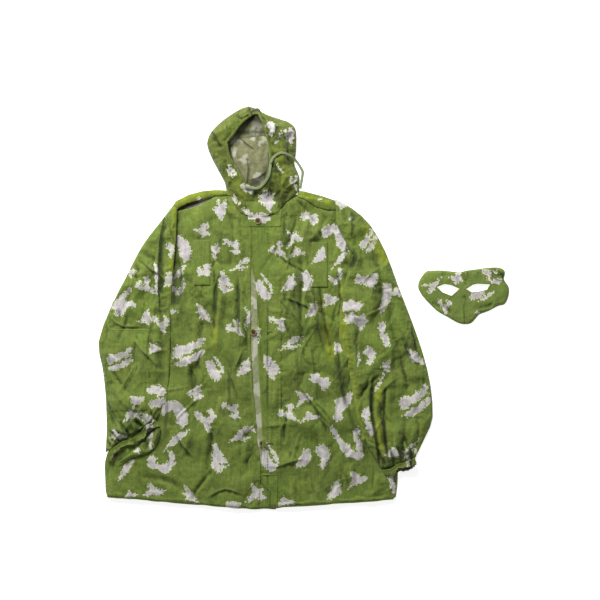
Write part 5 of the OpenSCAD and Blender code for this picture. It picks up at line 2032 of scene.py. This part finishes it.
grown = FACE_MID + (OPENING - FACE_MID) * (1 + 0.0045 / np.linalg.norm(OPENING - FACE_MID, axis=1))[:, None]
hem = resample(grown, 0.0025, closed=True)
hem_z = HOOD_TOP.height(FACE_MID + (hem - FACE_MID) * 1.05, 0.022)
hem_z = np.convolve(np.pad(hem_z, 6, mode="wrap"), np.ones(13) / 13, mode="valid")
gather = 1 + 0.07 * noise(hem, 0.006, 3) + 0.2 * noise(hem, 0.02, 7)
hem_radii = np.column_stack([0.0040 * gather, 0.0026 * gather])
hem_path = np.column_stack([hem, hem_z + 0.0012])
hem_object = tube("hood_hem_cloth", hem_path, hem_radii, HOOD_COTTON, sides=12, closed=True)
co = np.array([v.co[:] for v in hem_object.data.vertices])[:, :2]
far, none = np.full(len(co), 0.03), np.zeros(len(co))
add_cloth_data(hem_object.data, co, {
    "print_d": print_distance(co, PRINT["hood"]), "seam": far, "edge": far,
    "sun": none, "painted_fold_light": none, "shade": none,
})
finish_piece(hem_object, "hood", "printed_cotton", "hood_hem_channel")
HEM_EDGE_R = (0.0010, 0.0012)
edge_path = FACE_MID + (hem - FACE_MID) * (1 - 0.0034 / np.linalg.norm(hem - FACE_MID, axis=1))[:, None]
finish_piece(
    tube("hood_hem_edge", np.column_stack([edge_path, hem_z + 0.0006]), HEM_EDGE_R, PALE_EDGE, closed=True),
    "hood", "printed_cotton",
)


def tape(name, path, width, body, node, slide=0.0):
    path = spline(mm(path), steps=10)
    ahead = np.gradient(path, axis=0)
    across = np.column_stack([-ahead[:, 1], ahead[:, 0]]) / np.linalg.norm(ahead, axis=1)[:, None]
    z = np.full(len(path), 0.016)
    for off in (-0.004, 0.0, 0.004):
        for pulled in np.linspace(0, slide, 5):
            z = np.maximum(z, HOOD_TOP.height(path + across * off + (pulled, 0), 0.016))
    wide = np.pad(z, 3, mode="edge")
    z = np.max([wide[k : k + len(z)] for k in range(7)], axis=0)
    z = np.convolve(np.pad(z, 4, mode="edge"), np.ones(9) / 9, mode="valid") + 0.0022
    obj = tube(name, np.column_stack([path, z]), (width / 2 * MM, 0.0010), TAPE, sides=10)
    return finish_piece(obj, body, "cord_tape", node)


tape("drawcord_tape", [(-30, 365), (6, 361), (27, 375), (42, 399), (48, 436)], 8, "hood", "drawcord")
CORD_LOOP = [(48, 436), (56, 452), (81, 466), (117, 450), (141, 417), (142, 399), (136, 361)]
tape("drawcord_loop_tape", CORD_LOOP, 8, "drawcord_loop", "drawcord_loop", slide=0.025)


# ---------------------------------------------------------------- mask pieces

MASK_BEND = ("mask", "mask_left_half", (0.612, 0.03, 0.008), (0.630, 0.03, 0.008))
# The mask's dark paths are painted shade in two of its folds
cloth_piece(
    "mask_cloth", mask, PRINT["mask"], MASK_BEND, "mask_panel_right", "mask_panel_left",
    materials=[MASK_COTTON, REVERSE], seams=[NOSE[3:]], folds=FOLDS_MASK,
    dark=[(4, 0.7, [(716, 118), (738, 108), (746, 96)]), (2.5, 0.6, [(628, 42), (632, 30)])],
)
MASK_TOP = Surface(mask)
eye_rows = []
for eye in EYES:
    ring = eye.mean(0) + (eye - eye.mean(0)) * 1.14
    eye_rows.append(np.vstack([ring, ring[:1]]))
finish_piece(stitches("mask_stitches", MASK_TOP, eye_rows, THREAD), MASK_BEND, "printed_cotton")
LOOPS = {
    "right": ("mask", [(508, 95), (496, 70), (500, 50), (530, 46), (540, 86)]),
    "left": ("mask_left_half", [(738, 100), (752, 66), (738, 34), (708, 30), (706, 50)]),
}
for side, (body, path) in LOOPS.items():
    path = spline(mm(path), steps=8)
    path = np.column_stack([path, np.full(len(path), 0.0012)])
    obj = tube(f"mask_loop_{side}_cord", path, (0.0016, 0.0009), ELASTIC)
    finish_piece(obj, body, "elastic", f"mask_loop_{side}")


# ---------------------------------------------------------------- floor, light and camera


def stage():
    bpy.ops.mesh.primitive_plane_add(size=60, location=(0, 0, -0.0003))
    floor = bpy.context.object
    floor.name = "floor"
    n = Nodes("pale_floor")
    n.shader.inputs["Base Color"].default_value = (0.93, 0.93, 0.93, 1)
    n.shader.inputs["Roughness"].default_value = 0.9
    n.shader.inputs["Specular IOR Level"].default_value = 0.0
    n.shader.inputs["Emission Color"].default_value = (1, 1, 1, 1)
    n.shader.inputs["Emission Strength"].default_value = 0.7
    floor.data.materials.append(n.material)
    world = bpy.data.worlds.new("studio")
    world.use_nodes = True
    world.node_tree.nodes["Background"].inputs[0].default_value = (1, 1, 1, 1)
    world.node_tree.nodes["Background"].inputs[1].default_value = 0.27
    scene = bpy.context.scene
    scene.world = world
    light = bpy.data.lights.new("softbox", "AREA")
    light.size, light.energy = 1.1, 150
    lamp = bpy.data.objects.new("softbox", light)
    lamp.location = (-0.9, 2.4, 2.1)
    scene.collection.objects.link(lamp)
    aim = bpy.data.objects.new("aim", None)
    aim.location = (0.1, 0, 0)
    scene.collection.objects.link(aim)
    track = lamp.constraints.new("TRACK_TO")
    track.target = aim
    track.track_axis, track.up_axis = "TRACK_NEGATIVE_Z", "UP_Y"
    camera_data = bpy.data.cameras.new("camera")
    camera_data.lens, camera_data.sensor_width = 100, 36
    camera = bpy.data.objects.new("camera", camera_data)
    width, level = 1.8, 0.015
    camera.location = (0.135, 0.027, level + width * camera_data.lens / camera_data.sensor_width)
    scene.collection.objects.link(camera)
    scene.camera = camera
    scene.view_settings.view_transform = "Standard"


stage()
